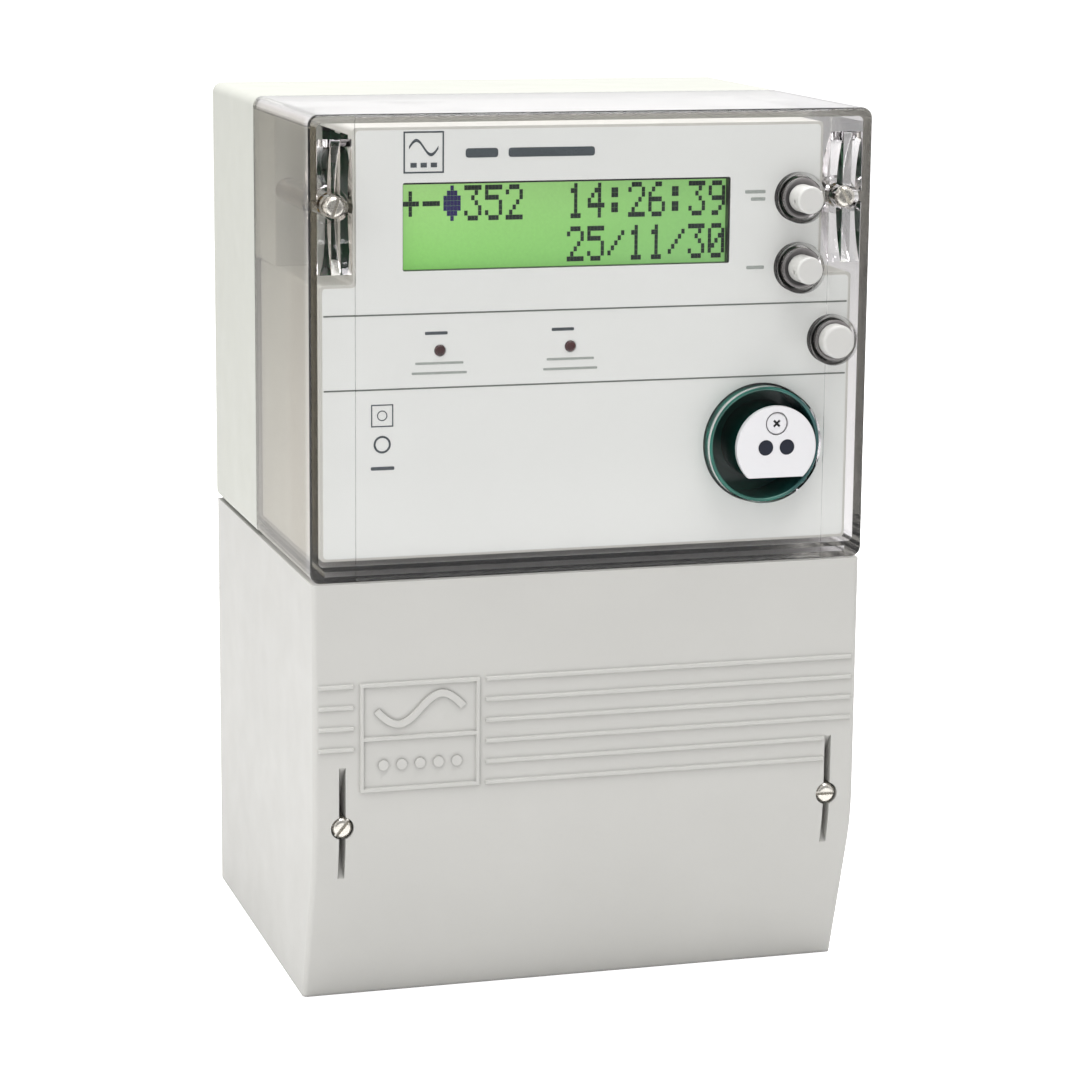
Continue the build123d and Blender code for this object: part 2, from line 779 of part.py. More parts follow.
with BuildPart() as panel_label:
    with BuildSketch(at_depth(panel_face)):
        add(carrier_outline(0.8))
        with Locations(window_centre):
            RectangleRounded(window_size[0], window_size[1], 0.6, mode=Mode.SUBTRACT)
        with Locations(*button_places):
            Circle(collar_stem_radius + 0.3, mode=Mode.SUBTRACT)
        with Locations(*lamp_positions):
            Circle(light_guide_radius + 0.1, mode=Mode.SUBTRACT)
        with Locations(well_at):
            Circle(well_radius + well_fit, mode=Mode.SUBTRACT)
    extrude(amount=label_thickness)
save(panel_label.part, "panel_label")

with BuildPart() as display_board:
    with BuildSketch(at_depth(display_board_face - board_thickness)):
        with Locations((0, 44)):
            RectangleRounded(148, 72, 1.5)
        with Locations((0, 101)):
            RectangleRounded(132, 46, 1.5)
        with Locations(*board_post_places):
            Circle(board_screw_radius + 0.15, mode=Mode.SUBTRACT)
    extrude(amount=board_thickness)
save(display_board.part, "display_board")

with BuildPart() as display_board_screws:
    display_board_back = display_board_face - board_thickness
    with BuildSketch(at_depth(display_board_back)):
        with Locations(*board_post_places):
            Circle(board_screw_radius)
    extrude(amount=board_screw_length)
    with BuildSketch(at_depth(display_board_back - pan_head_height)):
        with Locations(*board_post_places):
            Circle(pan_head_radius)
    extrude(amount=pan_head_height)
    with BuildSketch(at_depth(display_board_back - pan_head_height)):
        with Locations(*board_post_places):
            Rectangle(cross_slot[0], cross_slot[1])
            Rectangle(cross_slot[1], cross_slot[0])
    extrude(amount=pan_head_height / 2, mode=Mode.SUBTRACT)
save(display_board_screws.part, "display_board_screws")

with BuildPart() as lcd_frame:
    with BuildSketch(at_depth(lcd_frame_back)):
        with Locations(window_centre):
            RectangleRounded(lcd_frame_size[0], lcd_frame_size[1], 1.0)
    extrude(amount=lcd_frame_front - lcd_frame_back)
    with BuildSketch(at_depth(lcd_frame_back)):
        with Locations(window_centre):
            Rectangle(lcd_frame_size[0] - 1.2, lcd_frame_size[1] - 1.2)
    extrude(amount=lcd_glass_face - lcd_frame_back, mode=Mode.SUBTRACT)
    with BuildSketch(at_depth(lcd_glass_face)):
        with Locations(window_centre):
            Rectangle(window_size[0] + 1.6, window_size[1] + 1.6)
    extrude(amount=1, mode=Mode.SUBTRACT)
save(lcd_frame.part, "lcd_frame")

lcd_inner = (lcd_frame_size[0] - 1.4, lcd_frame_size[1] - 1.4)
glass_back = lcd_glass_face - lcd_glass_thickness
save(prism_group([window_centre], lcd_inner, glass_back, lcd_glass_face), "lcd_glass")
save(
    prism_group([window_centre], lcd_inner, glass_back - lcd_backlight_thickness, glass_back),
    "lcd_backlight",
)
save(
    prism_group([window_centre], (lcd_frame_size[0], 42), lcd_frame_back - board_thickness, lcd_frame_back),
    "lcd_board",
)

save(pin_group(lamp_positions, 1.5, display_board_face, display_board_face + 2.4), "pulse_lamps")
with BuildPart() as light_guides:
    with BuildSketch(at_depth(display_board_face + 2.6)):
        with Locations(*lamp_positions):
            Circle(light_guide_radius)
    extrude(amount=panel_face + 0.8 - display_board_face - 2.6)
    tips = light_guides.edges().group_by(Axis.Y)[0]
    fillet(tips, 0.7)
save(light_guides.part, "light_guides")

# ribbon cable from the main board to the display board
ribbon_x = -58.0
with BuildPart() as ribbon_cable:
    with BuildSketch(Plane.YZ.offset(ribbon_x)):
        with BuildLine() as ribbon_path:
            FilletPolyline(
                (-main_front - 5, 30),
                (-main_front - 8, 30),
                (-main_front - 8, 46),
                (-display_board_face + board_thickness + 8, 46),
                (-display_board_face + board_thickness + 8, 30),
                (-display_board_face + board_thickness + 5, 30),
                radius=1.4,
            )
        trace(ribbon_path.line, 0.9)
    extrude(amount=20)
save(ribbon_cable.part, "ribbon_cable")

with BuildPart() as ribbon_sockets:
    with BuildSketch(at_depth(main_front)):
        with Locations((ribbon_x + 10, 30)):
            Rectangle(26, 6)
    extrude(amount=5)
    with BuildSketch(at_depth(display_board_face - board_thickness - 5)):
        with Locations((ribbon_x + 10, 30)):
            Rectangle(26, 6)
    extrude(amount=5)
save(ribbon_sockets.part, "ribbon_sockets")

# ================================================================ optical port
ir_windows_at = [(port_at[0] + side * ir_window_pitch / 2, port_at[1]) for side in (-1, 1)]
port_screw_at = (port_at[0], port_at[1] + port_screw_above)
head_back = overall_depth - head_thickness
with BuildPart() as port_well:
    with BuildSketch(at_depth(well_floor - well_base)):
        with Locations(well_at):
            Circle(well_radius)
    extrude(amount=well_rim - well_floor + well_base)
    with BuildSketch(at_depth(well_floor)):
        with Locations(well_at):
            Circle(well_radius - well_wall)
    extrude(amount=well_rim - well_floor, mode=Mode.SUBTRACT)
    well_lip = port_well.edges().group_by(Axis.Y)[0]
    fillet(well_lip, 0.4)
    # pedestal that carries the head
    with BuildSketch(at_depth(well_floor)):
        with Locations(port_at):
            Circle(head_radius - pedestal_inset)
        with Locations((port_at[0], port_at[1] - head_chord + pedestal_inset - head_radius)):
            Rectangle(2 * head_radius, 2 * head_radius, mode=Mode.SUBTRACT)
    extrude(amount=head_back - well_floor)
    with BuildSketch(at_depth(well_floor - well_base)):
        with Locations(*ir_windows_at):
            Circle(ir_window_radius)
        with Locations(port_screw_at):
            Circle(1.4)
    extrude(amount=head_back - well_floor + well_base, mode=Mode.SUBTRACT)
save(port_well.part, "port_well")

save(ring(well_at, well_radius + well_fit, well_radius, 125, 127), "port_gasket")

with BuildPart() as port_head:
    with BuildSketch(at_depth(head_back)):
        with Locations(port_at):
            Circle(head_radius)
        with Locations((port_at[0], port_at[1] - head_chord - head_radius)):
            Rectangle(2 * head_radius, 2 * head_radius, mode=Mode.SUBTRACT)
        with Locations(*ir_windows_at):
            Circle(ir_window_radius, mode=Mode.SUBTRACT)
        with Locations(port_screw_at):
            Circle(1.7, mode=Mode.SUBTRACT)
    extrude(amount=head_thickness)
    with BuildSketch(at_depth(overall_depth - port_screw_recess)):
        with Locations(port_screw_at):
            Circle(3.4)
    extrude(amount=port_screw_recess, mode=Mode.SUBTRACT)
save(port_head.part, "port_head")

save(
    pin_group(ir_windows_at, ir_window_radius, well_floor - well_base, overall_depth - 0.3),
    "port_windows",
)
save(pin_group(ir_windows_at, 1.5, display_board_face, well_floor - well_base), "infrared_diodes")

with BuildPart() as port_screw:
    with BuildSketch(at_depth(well_floor - well_base)):
        with Locations(port_screw_at):
            Circle(1.4)
    extrude(amount=overall_depth - port_screw_recess - well_floor + well_base)
    with BuildSketch(at_depth(overall_depth - port_screw_recess)):
        with Locations(port_screw_at):
            Circle(3.1)
    extrude(amount=port_screw_head)
    screw_rim = port_screw.edges().group_by(Axis.Y)[0]
    fillet(screw_rim, 0.4)
    with BuildSketch(at_depth(overall_depth - port_screw_recess + port_screw_head - 0.6)):
        with Locations(port_screw_at):
            Rectangle(2.6, 0.7, rotation=45)
            Rectangle(0.7, 2.6, rotation=45)
    extrude(amount=1, mode=Mode.SUBTRACT)
save(port_screw.part, "port_screw")

# small push switches behind the three buttons
switch_top = 119.9
with BuildPart() as button_switches:
    with BuildSketch(at_depth(display_board_face)):
        with Locations(*button_places):
            Rectangle(6, 6)
    extrude(amount=2.8)
    with BuildSketch(at_depth(display_board_face + 2.8)):
        with Locations(*button_places):
            Circle(1.7)
    extrude(amount=switch_top - display_board_face - 2.8)
save(button_switches.part, "button_switches")

# ================================================================ clear cover
cover_wells = mirrored(cover_screw_x, cover_screw_z)
inner_floor = clear_rim
inner_ceiling = case_top - clear_wall
inner_middle = (inner_floor + inner_ceiling) / 2

with BuildPart() as clear_cover:
    with BuildSketch(at_depth(base_depth)):
        with Locations((0, case_top / 2)):
            RectangleRounded(case_width, case_top, corner_radius)
    extrude(amount=overall_depth - base_depth)
    fillet(clear_cover.edges().group_by(Axis.Y)[0], 1.6)
    with BuildSketch(at_depth(base_depth)):
        with Locations((0, inner_middle)):
            RectangleRounded(case_width - 2 * clear_wall, inner_ceiling - inner_floor, 1.5)
    extrude(amount=clear_inner_front - base_depth, mode=Mode.SUBTRACT)
    # drip groove in the thick lower edge, open to the back
    with BuildSketch(at_depth(base_depth)):
        with Locations((0, clear_rim / 2)):
            Rectangle(case_width - 9, rim_groove)
    extrude(amount=overall_depth - base_depth - 4, mode=Mode.SUBTRACT)
    # the outer strips of the front are set back a little
    with BuildSketch(at_depth(overall_depth - front_step)):
        with Locations(*mirrored(front_step_x + 10, case_top / 2)):
            Rectangle(20, case_top + 2)
    extrude(amount=front_step, mode=Mode.SUBTRACT)
    # blocks around the arc slots, each with a round boss and a column for the screw
    for x, z in cover_wells:
        block = slot_disc((x, z), cover_well_size[0], cover_well_size[1], cover_well_sag)
        with BuildPart(mode=Mode.PRIVATE) as limits:
            with BuildSketch(at_depth(overall_depth - cover_well_sag)):
                with Locations((x, z)):
                    Rectangle(cover_well_size[0], cover_well_size[1])
            extrude(amount=cover_well_sag - front_step)
        add(block & limits.part)
    with BuildSketch(at_depth(seal_screw_seat - 5)):
        with Locations(*cover_wells):
            Circle(5.2)
    extrude(amount=overall_depth - front_step - seal_screw_seat + 5)
    with BuildSketch(at_depth(shoulder_floor + 0.1)):
        with Locations(*cover_wells):
            Circle(3.6)
    extrude(amount=seal_screw_seat - shoulder_floor - 1)
    for x, z in cover_wells:
        slot = slot_disc((x, z), cover_slot_width, cover_well_size[1] - 4, cover_well_sag - 1.8)
        add(slot, mode=Mode.SUBTRACT)
    with BuildSketch(at_depth(seal_screw_seat)):
        with Locations(*cover_wells):
            Circle(seal_screw_head_radius + 0.6)
    extrude(amount=overall_depth - seal_screw_seat, mode=Mode.SUBTRACT)
    with BuildSketch(at_depth(shoulder_floor)):
        with Locations(*cover_wells):
            Circle(seal_screw_radius + 0.3)
    extrude(amount=seal_screw_seat - shoulder_floor - 2, mode=Mode.SUBTRACT)
    with BuildSketch(at_depth(shoulder_floor)):
        with Locations(*cover_wells):
            Circle(seal_screw_waist + running_gap)
    extrude(amount=seal_screw_seat - shoulder_floor + 1, mode=Mode.SUBTRACT)
    # tubular collars around the three buttons, and a plain hole around the optical port
    with BuildSketch(at_depth(collar_rear)):
        with Locations(*button_places):
            Circle(collar_stem_radius)
    extrude(amount=clear_inner_front - collar_rear + 0.5)
    with BuildSketch(at_depth(collar_step)):
        with Locations(*button_places):
            Circle(collar_radius)
    extrude(amount=clear_inner_front - collar_step + 0.5)
    with BuildSketch(at_depth(collar_rear + collar_floor)):
        with Locations(*button_places):
            Circle(collar_stem_bore_radius)
    extrude(amount=overall_depth, mode=Mode.SUBTRACT)
    with BuildSketch(at_depth(collar_step + collar_web)):
        with Locations(*button_places):
            Circle(collar_bore_radius)
    extrude(amount=overall_depth, mode=Mode.SUBTRACT)
    with BuildSketch(at_depth(collar_rear)):
        with Locations(*button_places):
            Circle(stem_radius + running_gap)
    extrude(amount=collar_floor, mode=Mode.SUBTRACT)
    with BuildSketch(at_depth(clear_inner_front)):
        with Locations(well_at):
            Circle(port_hole_radius)
    extrude(amount=clear_wall, mode=Mode.SUBTRACT)
save(clear_cover.part, "clear_cover")

# ================================================================ push buttons
plunger_radius = {"scroll": 3.95, "select": 3.95, "reset": 4.85}
plunger_front = {"scroll": 144.3, "select": 144.3, "reset": 141.2}
plunger_edge = {"scroll": 0.75, "select": 0.75, "reset": 1.1}
button_at = {"scroll": scroll_at, "select": select_at, "reset": reset_at}
seal_back = seal_front - seal_thickness
shoulder_front = seal_back - 0.1
shoulder_back = shoulder_front - 0.9
spring_rear = collar_rear + collar_floor
stem_tail = switch_top + button_travel + 0.1
clip_front = collar_rear - 0.05
clip_thickness = 0.8
clip_groove = 0.5
spring_wire_radius = 0.3
spring_radius = 3.4
spring_turns = 4.5

with BuildPart() as button_seals:
    for name, place in button_at.items():
        with BuildSketch(at_depth(seal_back)):
            with Locations(place):
                Circle(collar_bore_radius)
                Circle(plunger_radius[name] + 0.04, mode=Mode.SUBTRACT)
        extrude(amount=seal_thickness)
save(button_seals.part, "button_seals")

for name, (x, z) in button_at.items():
    radius = plunger_radius[name]
    front = plunger_front[name]
    with BuildPart() as plunger:
        with BuildSketch(at_depth(shoulder_back)):
            with Locations((x, z)):
                Circle(radius)
        extrude(amount=front - shoulder_back)
        nose = plunger.edges().group_by(Axis.Y)[0]
        fillet(nose, plunger_edge[name])
        with BuildSketch(at_depth(shoulder_back)):
            with Locations((x, z)):
                Circle(5.5)
        extrude(amount=shoulder_front - shoulder_back)
        with BuildSketch(at_depth(stem_tail)):
            with Locations((x, z)):
                Circle(stem_radius)
        extrude(amount=shoulder_back - stem_tail)
        # groove for the retaining clip
        with BuildSketch(at_depth(clip_front - clip_thickness)):
            with Locations((x, z)):
                Circle(stem_radius)
                Circle(stem_radius - clip_groove, mode=Mode.SUBTRACT)
        extrude(amount=clip_thickness, mode=Mode.SUBTRACT)
        # sealing-wire hole across the nose
        if name != "reset":
            with BuildSketch(Plane.YZ.offset(x - radius)):
                with Locations((-front + 3.0, z - 0.6)):
                    Circle(0.65)
            extrude(amount=2 * radius, mode=Mode.SUBTRACT)
    save(plunger.part, f"{name}_button")

    with BuildPart() as clip:
        with BuildSketch(at_depth(clip_front - clip_thickness)):
            with Locations((x, z)):
                Circle(stem_radius + 1.6)
                Circle(stem_radius - clip_groove, mode=Mode.SUBTRACT)
            with Locations((x, z - stem_radius - 1)):
                Rectangle(2 * (stem_radius - clip_groove) - 0.4, 2 * stem_radius + 2, mode=Mode.SUBTRACT)
        extrude(amount=clip_thickness)
    save(clip.part, f"{name}_clip")

    coil_start = spring_rear + spring_wire_radius + 0.05
    coil_length = shoulder_back - coil_start - spring_wire_radius - 0.05
    with BuildPart() as spring:
        with BuildLine():
            coil = Helix(
                pitch=coil_length / spring_turns,
                height=coil_length,
                radius=spring_radius,
                center=(x, -coil_start, z),
                direction=(0, -1, 0),
            )
        with BuildSketch(Plane(coil @ 0, z_dir=coil % 0)):
            Circle(spring_wire_radius)
        sweep(path=coil, is_frenet=True)
    save(spring.part, f"{name}_spring")

# ================================================================ terminal cover


def terminal_prism(inset):
    """Terminal cover as a solid, inset all round: straight front, then a bend back to the wall."""
    half_width = case_width / 2 - terminal_inset - inset
    bend_depth = terminal_front - bend_radius
    radius = bend_radius - inset
    angle = radians(bend_angle)
    floor_z = case_bottom + inset
    bend_end = (-bend_depth - radius * cos(angle), bend_start_z - radius * sin(angle))
    foot_depth = -bend_end[0] - (bend_end[1] - floor_z) * tan(angle)
    top_z = -parting_gap - inset
    back_y = 1.0 if inset else 0.0
    with BuildPart() as prism:
        with BuildSketch(Plane.YZ.offset(-half_width)):
            with BuildLine():
                Line((-terminal_front + inset, top_z), (-terminal_front + inset, bend_start_z))
                CenterArc((-bend_depth, bend_start_z), radius, 180, bend_angle)
                Polyline(
                    bend_end,
                    (-foot_depth, floor_z),
                    (back_y, floor_z),
                    (back_y, top_z),
                    (-terminal_front + inset, top_z),
                )
            make_face()
        extrude(amount=2 * half_width)
    return prism.part


terminal_width = case_width - 2 * terminal_inset
terminal_screws_at = mirrored(terminal_slot_x, terminal_slot_z)
cable_gap_front = 66.0
block_gap_front = 72.0
ribs_left = (-80.6, -70.2)
ribs_right_start = -31.6

with BuildPart() as terminal_cover:
    add(terminal_prism(0))
    upright = terminal_cover.edges().filter_by(
        lambda e: abs(abs(e.center().X) - terminal_width / 2) < 0.01 and e.center().Y < -100
    )
    fillet(upright, 1.5)
    add(terminal_prism(terminal_wall), mode=Mode.SUBTRACT)
    # opening below for the cables, and above for the terminal block
    with BuildSketch(Plane.XY.offset(case_bottom - 1)):
        with Locations((0, -cable_gap_front / 2)):
            Rectangle(terminal_width - 2 * terminal_wall, cable_gap_front)
    extrude(amount=terminal_wall + 2, mode=Mode.SUBTRACT)
    with BuildSketch(Plane.XY.offset(-parting_gap - terminal_wall - 1)):
        with Locations((0, -block_gap_front / 2)):
            Rectangle(terminal_width - 2 * terminal_wall, block_gap_front)
    extrude(amount=terminal_wall + 2, mode=Mode.SUBTRACT)
    # blocks behind the seal slots
    for x, z in terminal_screws_at:
        block = slot_disc((x, z), 6.4, terminal_slot_length, terminal_slot_sag, margin=1.8)
        with BuildPart(mode=Mode.PRIVATE) as limits:
            with BuildSketch(at_depth(terminal_front - 12)):
                with Locations((x, z)):
                    Rectangle(6.4, terminal_slot_length + 5)
            extrude(amount=12 - terminal_wall / 2)
        add(block & limits.part & terminal_prism(terminal_wall / 2))
    with BuildSketch(at_depth(seal_screw_seat - 4)):
        with Locations(*terminal_screws_at):
            Circle(5.0)
    extrude(amount=4.5 + terminal_front - terminal_wall - seal_screw_seat)
    for x, z in terminal_screws_at:
        slot = slot_disc((x, z), terminal_slot_width, terminal_slot_length, terminal_slot_sag)
        add(slot, mode=Mode.SUBTRACT)
    with BuildSketch(at_depth(seal_screw_seat)):
        with Locations(*terminal_screws_at):
            Circle(seal_screw_head_radius + 0.25)
    extrude(amount=overall_depth - seal_screw_seat, mode=Mode.SUBTRACT)
    with BuildSketch(at_depth(seal_screw_seat - 6)):
        with Locations(*terminal_screws_at):
            Circle(seal_screw_waist + running_gap)
    extrude(amount=7, mode=Mode.SUBTRACT)
    # raised ribs and badge
    left_middle = (ribs_left[0] + ribs_left[1]) / 2
    for i in range(6):
        z = top_rib_z - i * rib_pitch
        right_end = terminal_width / 2 - 1.6 if i < 4 else 72.4
        with BuildSketch(at_depth(terminal_front)):
            with Locations(((ribs_right_start + right_end) / 2, z)):
                Rectangle(right_end - ribs_right_start, rib_width)
            if i < 4:
                with Locations((left_middle, z)):
                    Rectangle(ribs_left[1] - ribs_left[0], rib_width)
        extrude(amount=rib_height, taper=25)
    badge_top = top_rib_z + rib_width / 2
    badge_middle = ((badge_left + badge_right) / 2, (badge_top + badge_bottom) / 2)
    badge_width = badge_right - badge_left
    with BuildSketch(at_depth(terminal_front)):
        with Locations(badge_middle):
            Rectangle(badge_width, badge_top - badge_bottom)
            Rectangle(badge_width - 2.6, badge_top - badge_bottom - 2.6, mode=Mode.SUBTRACT)
        with Locations((badge_middle[0], badge_divider)):
            Rectangle(badge_width - 2, rib_width)
    extrude(amount=rib_height, taper=20)
    # badge: one wave above, a row of studs below
    wave_half = badge_width / 2 - 5
    wave_z = (badge_top + badge_divider) / 2
    with BuildSketch(at_depth(terminal_front)):
        with BuildLine() as wave:
            Spline(
                [
                    (badge_middle[0] + wave_half * t, wave_z + 4.2 * sin(radians(180 * t)))
                    for t in (-1, -0.75, -0.5, -0.25, 0, 0.25, 0.5, 0.75, 1)
                ]
            )
        trace(wave.line, 2.0)
        with Locations((badge_middle[0], (badge_bottom + badge_divider) / 2)):
            with GridLocations(5.4, 1, 5, 1):
                Circle(1.5)
    extrude(amount=rib_height)
save(terminal_cover.part, "terminal_cover")

# ================================================================ sealing screws
seal_screws = {
    "cover_screw_left": (-cover_screw_x, cover_screw_z, shoulder_floor, 70),
    "cover_screw_right": (cover_screw_x, cover_screw_z, shoulder_floor, -60),
    "terminal_screw_left": (-terminal_slot_x, terminal_slot_z, pillar_top, 50),
    "terminal_screw_right": (terminal_slot_x, terminal_slot_z, pillar_top, 0),
}
for name, (x, z, thread_top, slot_turn) in seal_screws.items():
    with BuildPart() as screw:
        with BuildSketch(at_depth(seal_screw_seat)):
            with Locations((x, z)):
                Circle(seal_screw_head_radius)
        extrude(amount=seal_screw_head_top - seal_screw_seat)
        dome = screw.edges().group_by(Axis.Y)[0]
        fillet(dome, 1.6)
        with BuildSketch(at_depth(seal_screw_head_top - 1.4)):
            with Locations((x, z)):
                Rectangle(2 * seal_screw_head_radius + 1, 1.0, rotation=slot_turn)
        extrude(amount=1.4, mode=Mode.SUBTRACT)
        # sealing-wire hole through the head
        with BuildSketch(Plane.YZ.offset(x - 5)):
            with Locations((-seal_screw_seat - 2.4, z)):
                Circle(seal_hole_radius)
        extrude(amount=10, mode=Mode.SUBTRACT)
        with BuildSketch(at_depth(thread_top)):
            with Locations((x, z)):
                Circle(seal_screw_waist)
        extrude(amount=seal_screw_seat - thread_top)
        with BuildSketch(at_depth(thread_top - seal_screw_engaged + 0.5)):
            with Locations((x, z)):
                Circle(seal_screw_radius)
        extrude(amount=seal_screw_engaged - 0.5)
    save(screw.part, name)

# rings on the screws' waists that keep them in their covers
with BuildPart() as terminal_screw_rings:
    with BuildSketch(at_depth(seal_screw_seat - 9)):
        with Locations(*terminal_screws_at):
            Circle(3.4)
            Circle(seal_screw_waist + running_gap, mode=Mode.SUBTRACT)
    extrude(amount=0.8)
save(terminal_screw_rings.part, "terminal_screw_rings")
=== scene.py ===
import json
import math

import bmesh
import bpy
from mathutils import Matrix, Vector


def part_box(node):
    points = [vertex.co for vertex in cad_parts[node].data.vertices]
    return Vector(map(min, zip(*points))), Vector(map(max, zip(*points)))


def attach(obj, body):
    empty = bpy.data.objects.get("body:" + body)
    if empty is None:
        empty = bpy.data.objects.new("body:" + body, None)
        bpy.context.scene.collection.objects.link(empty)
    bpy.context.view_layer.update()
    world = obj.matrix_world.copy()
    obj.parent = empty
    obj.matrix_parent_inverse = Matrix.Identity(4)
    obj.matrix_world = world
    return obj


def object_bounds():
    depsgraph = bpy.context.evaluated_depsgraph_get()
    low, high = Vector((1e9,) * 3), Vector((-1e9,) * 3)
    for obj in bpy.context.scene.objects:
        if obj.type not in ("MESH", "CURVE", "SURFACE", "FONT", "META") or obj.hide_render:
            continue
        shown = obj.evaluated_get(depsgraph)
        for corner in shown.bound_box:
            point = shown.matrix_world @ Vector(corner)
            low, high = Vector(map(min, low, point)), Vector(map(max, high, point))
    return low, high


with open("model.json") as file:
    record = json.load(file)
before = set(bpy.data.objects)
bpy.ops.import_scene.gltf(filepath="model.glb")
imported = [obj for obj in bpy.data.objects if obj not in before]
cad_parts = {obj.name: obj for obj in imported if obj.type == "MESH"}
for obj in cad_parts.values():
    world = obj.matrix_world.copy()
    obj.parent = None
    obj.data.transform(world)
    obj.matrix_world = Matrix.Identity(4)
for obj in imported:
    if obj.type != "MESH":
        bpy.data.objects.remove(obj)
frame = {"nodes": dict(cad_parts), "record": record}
cad_low, cad_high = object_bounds()
nodes = frame["nodes"]
scene = bpy.context.scene
MM = 0.001


def middle(node):
    """Centre of a node's box as (x, z)."""
    low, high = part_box(node)
    return (low.x + high.x) / 2, (low.z + high.z) / 2


BUTTONS = [middle(press) for press in ("scroll_button", "select_button", "reset_button")]
BUTTON_REACH = 9 * MM  # shading around a button ends here
COLLAR_SHADE_RING = (5.8 * MM, 6.3 * MM, 7.2 * MM, 7.4 * MM)  # inner fade and outer fade of the painted shade ring around a collar


# ---------------------------------------------------------------- shader helpers
def linear(code):
    """Linear RGBA of a six-digit sRGB colour."""
    channels = [int(code[i:i + 2], 16) / 255 for i in (0, 2, 4)]
    return tuple(c / 12.92 if c <= 0.04045 else ((c + 0.055) / 1.055) ** 2.4 for c in channels) + (1.0,)


def scaled(colour, share):
    return tuple(min(1.0, c * share) for c in colour[:3]) + (1.0,)


class Graph:
    """One material and the nodes that make it."""

    def __init__(self, name):
        self.material = bpy.data.materials.new(name)
        self.material.use_nodes = True
        self.tree = self.material.node_tree
        self.tree.nodes.clear()
        self.place = self.node("ShaderNodeTexCoord").outputs["Object"]

    def put(self, socket, value):
        if isinstance(value, bpy.types.NodeSocket):
            self.tree.links.new(value, socket)
        else:
            socket.default_value = value

    def node(self, kind, inputs=None, **settings):
        made = self.tree.nodes.new(kind)
        for key, value in settings.items():
            setattr(made, key, value)
        for key, value in (inputs or {}).items():
            self.put(made.inputs[key], value)
        return made

    def stretched(self, scale):
        return self.node("ShaderNodeMapping", {"Vector": self.place, "Scale": scale}).outputs[0]

    def noise(self, size, detail=2.0, where=None):
        """Noise whose features are about this size in metres."""
        inputs = {"Vector": where or self.place, "Scale": 1.0 / size, "Detail": detail}
        return self.node("ShaderNodeTexNoise", inputs).outputs[0]

    def span(self, value, low, high, to_low=0.0, to_high=1.0):
        inputs = {"Value": value, "From Min": low, "From Max": high, "To Min": to_low, "To Max": to_high}
        return self.node("ShaderNodeMapRange", inputs).outputs[0]

    def math(self, operation, *values):
        made = self.node("ShaderNodeMath", operation=operation)
        for socket, value in zip(made.inputs, values):
            self.put(socket, value)
        return made.outputs[0]

    def mix(self, share, first, second, blend="MIX"):
        made = self.node("ShaderNodeMix", data_type="RGBA", blend_type=blend)
        self.put(made.inputs[0], share)
        self.put(made.inputs[6], first)
        self.put(made.inputs[7], second)
        return made.outputs[2]

    def axes(self):
        return self.node("ShaderNodeSeparateXYZ", {"Vector": self.place}).outputs

    def from_axis(self, centre):
        """Offsets and distance from an axis that runs along y through centre."""
        x, _, z = self.axes()[:3]
        dx, dz = self.math("SUBTRACT", x, centre[0]), self.math("SUBTRACT", z, centre[1])
        square = self.math("ADD", self.math("MULTIPLY", dx, dx), self.math("MULTIPLY", dz, dz))
        return dx, dz, self.math("SQRT", square)

    def from_buttons(self):
        """Distance from the nearest button axis, and how far the point leans to the lower left of it."""
        nearest = lean = None
        for centre in BUTTONS:
            dx, dz, away = self.from_axis(centre)
            toward = self.math("ADD", self.math("MULTIPLY", dx, -0.8), self.math("MULTIPLY", dz, -0.6))
            tilt = self.math("DIVIDE", toward, self.math("MAXIMUM", away, 0.0001))
            part = self.math("MULTIPLY", tilt, self.math("LESS_THAN", away, BUTTON_REACH))
            nearest = away if nearest is None else self.math("MINIMUM", nearest, away)
            lean = part if lean is None else self.math("ADD", lean, part)
        return nearest, lean

    def bump(self, height, distance, strength=1.0, normal=None):
        inputs = {"Height": height, "Distance": distance, "Strength": strength}
        if normal is not None:
            inputs["Normal"] = normal
        return self.node("ShaderNodeBump", inputs).outputs[0]

    def rounded(self, radius):
        return self.node("ShaderNodeBevel", {"Radius": radius}, samples=4).outputs[0]

    def edge(self, rounded_normal, low=0.01, high=0.25):
        """1 on an edge, 0 on a flat, from how far rounding turns the normal."""
        true = self.node("ShaderNodeNewGeometry").outputs["Normal"]
        dot = self.node("ShaderNodeVectorMath", operation="DOT_PRODUCT")
        self.put(dot.inputs[0], rounded_normal)
        self.put(dot.inputs[1], true)
        return self.span(self.math("SUBTRACT", 1.0, dot.outputs["Value"]), low, high)

    def principled(self, **inputs):
        names = {k.replace("_", " "): v for k, v in inputs.items()}
        return self.node("ShaderNodeBsdfPrincipled", names).outputs[0]

    def done(self, shader, volume=None):
        out = self.node("ShaderNodeOutputMaterial", {"Surface": shader})
        if volume is not None:
            self.put(out.inputs["Volume"], volume)
        return self.material


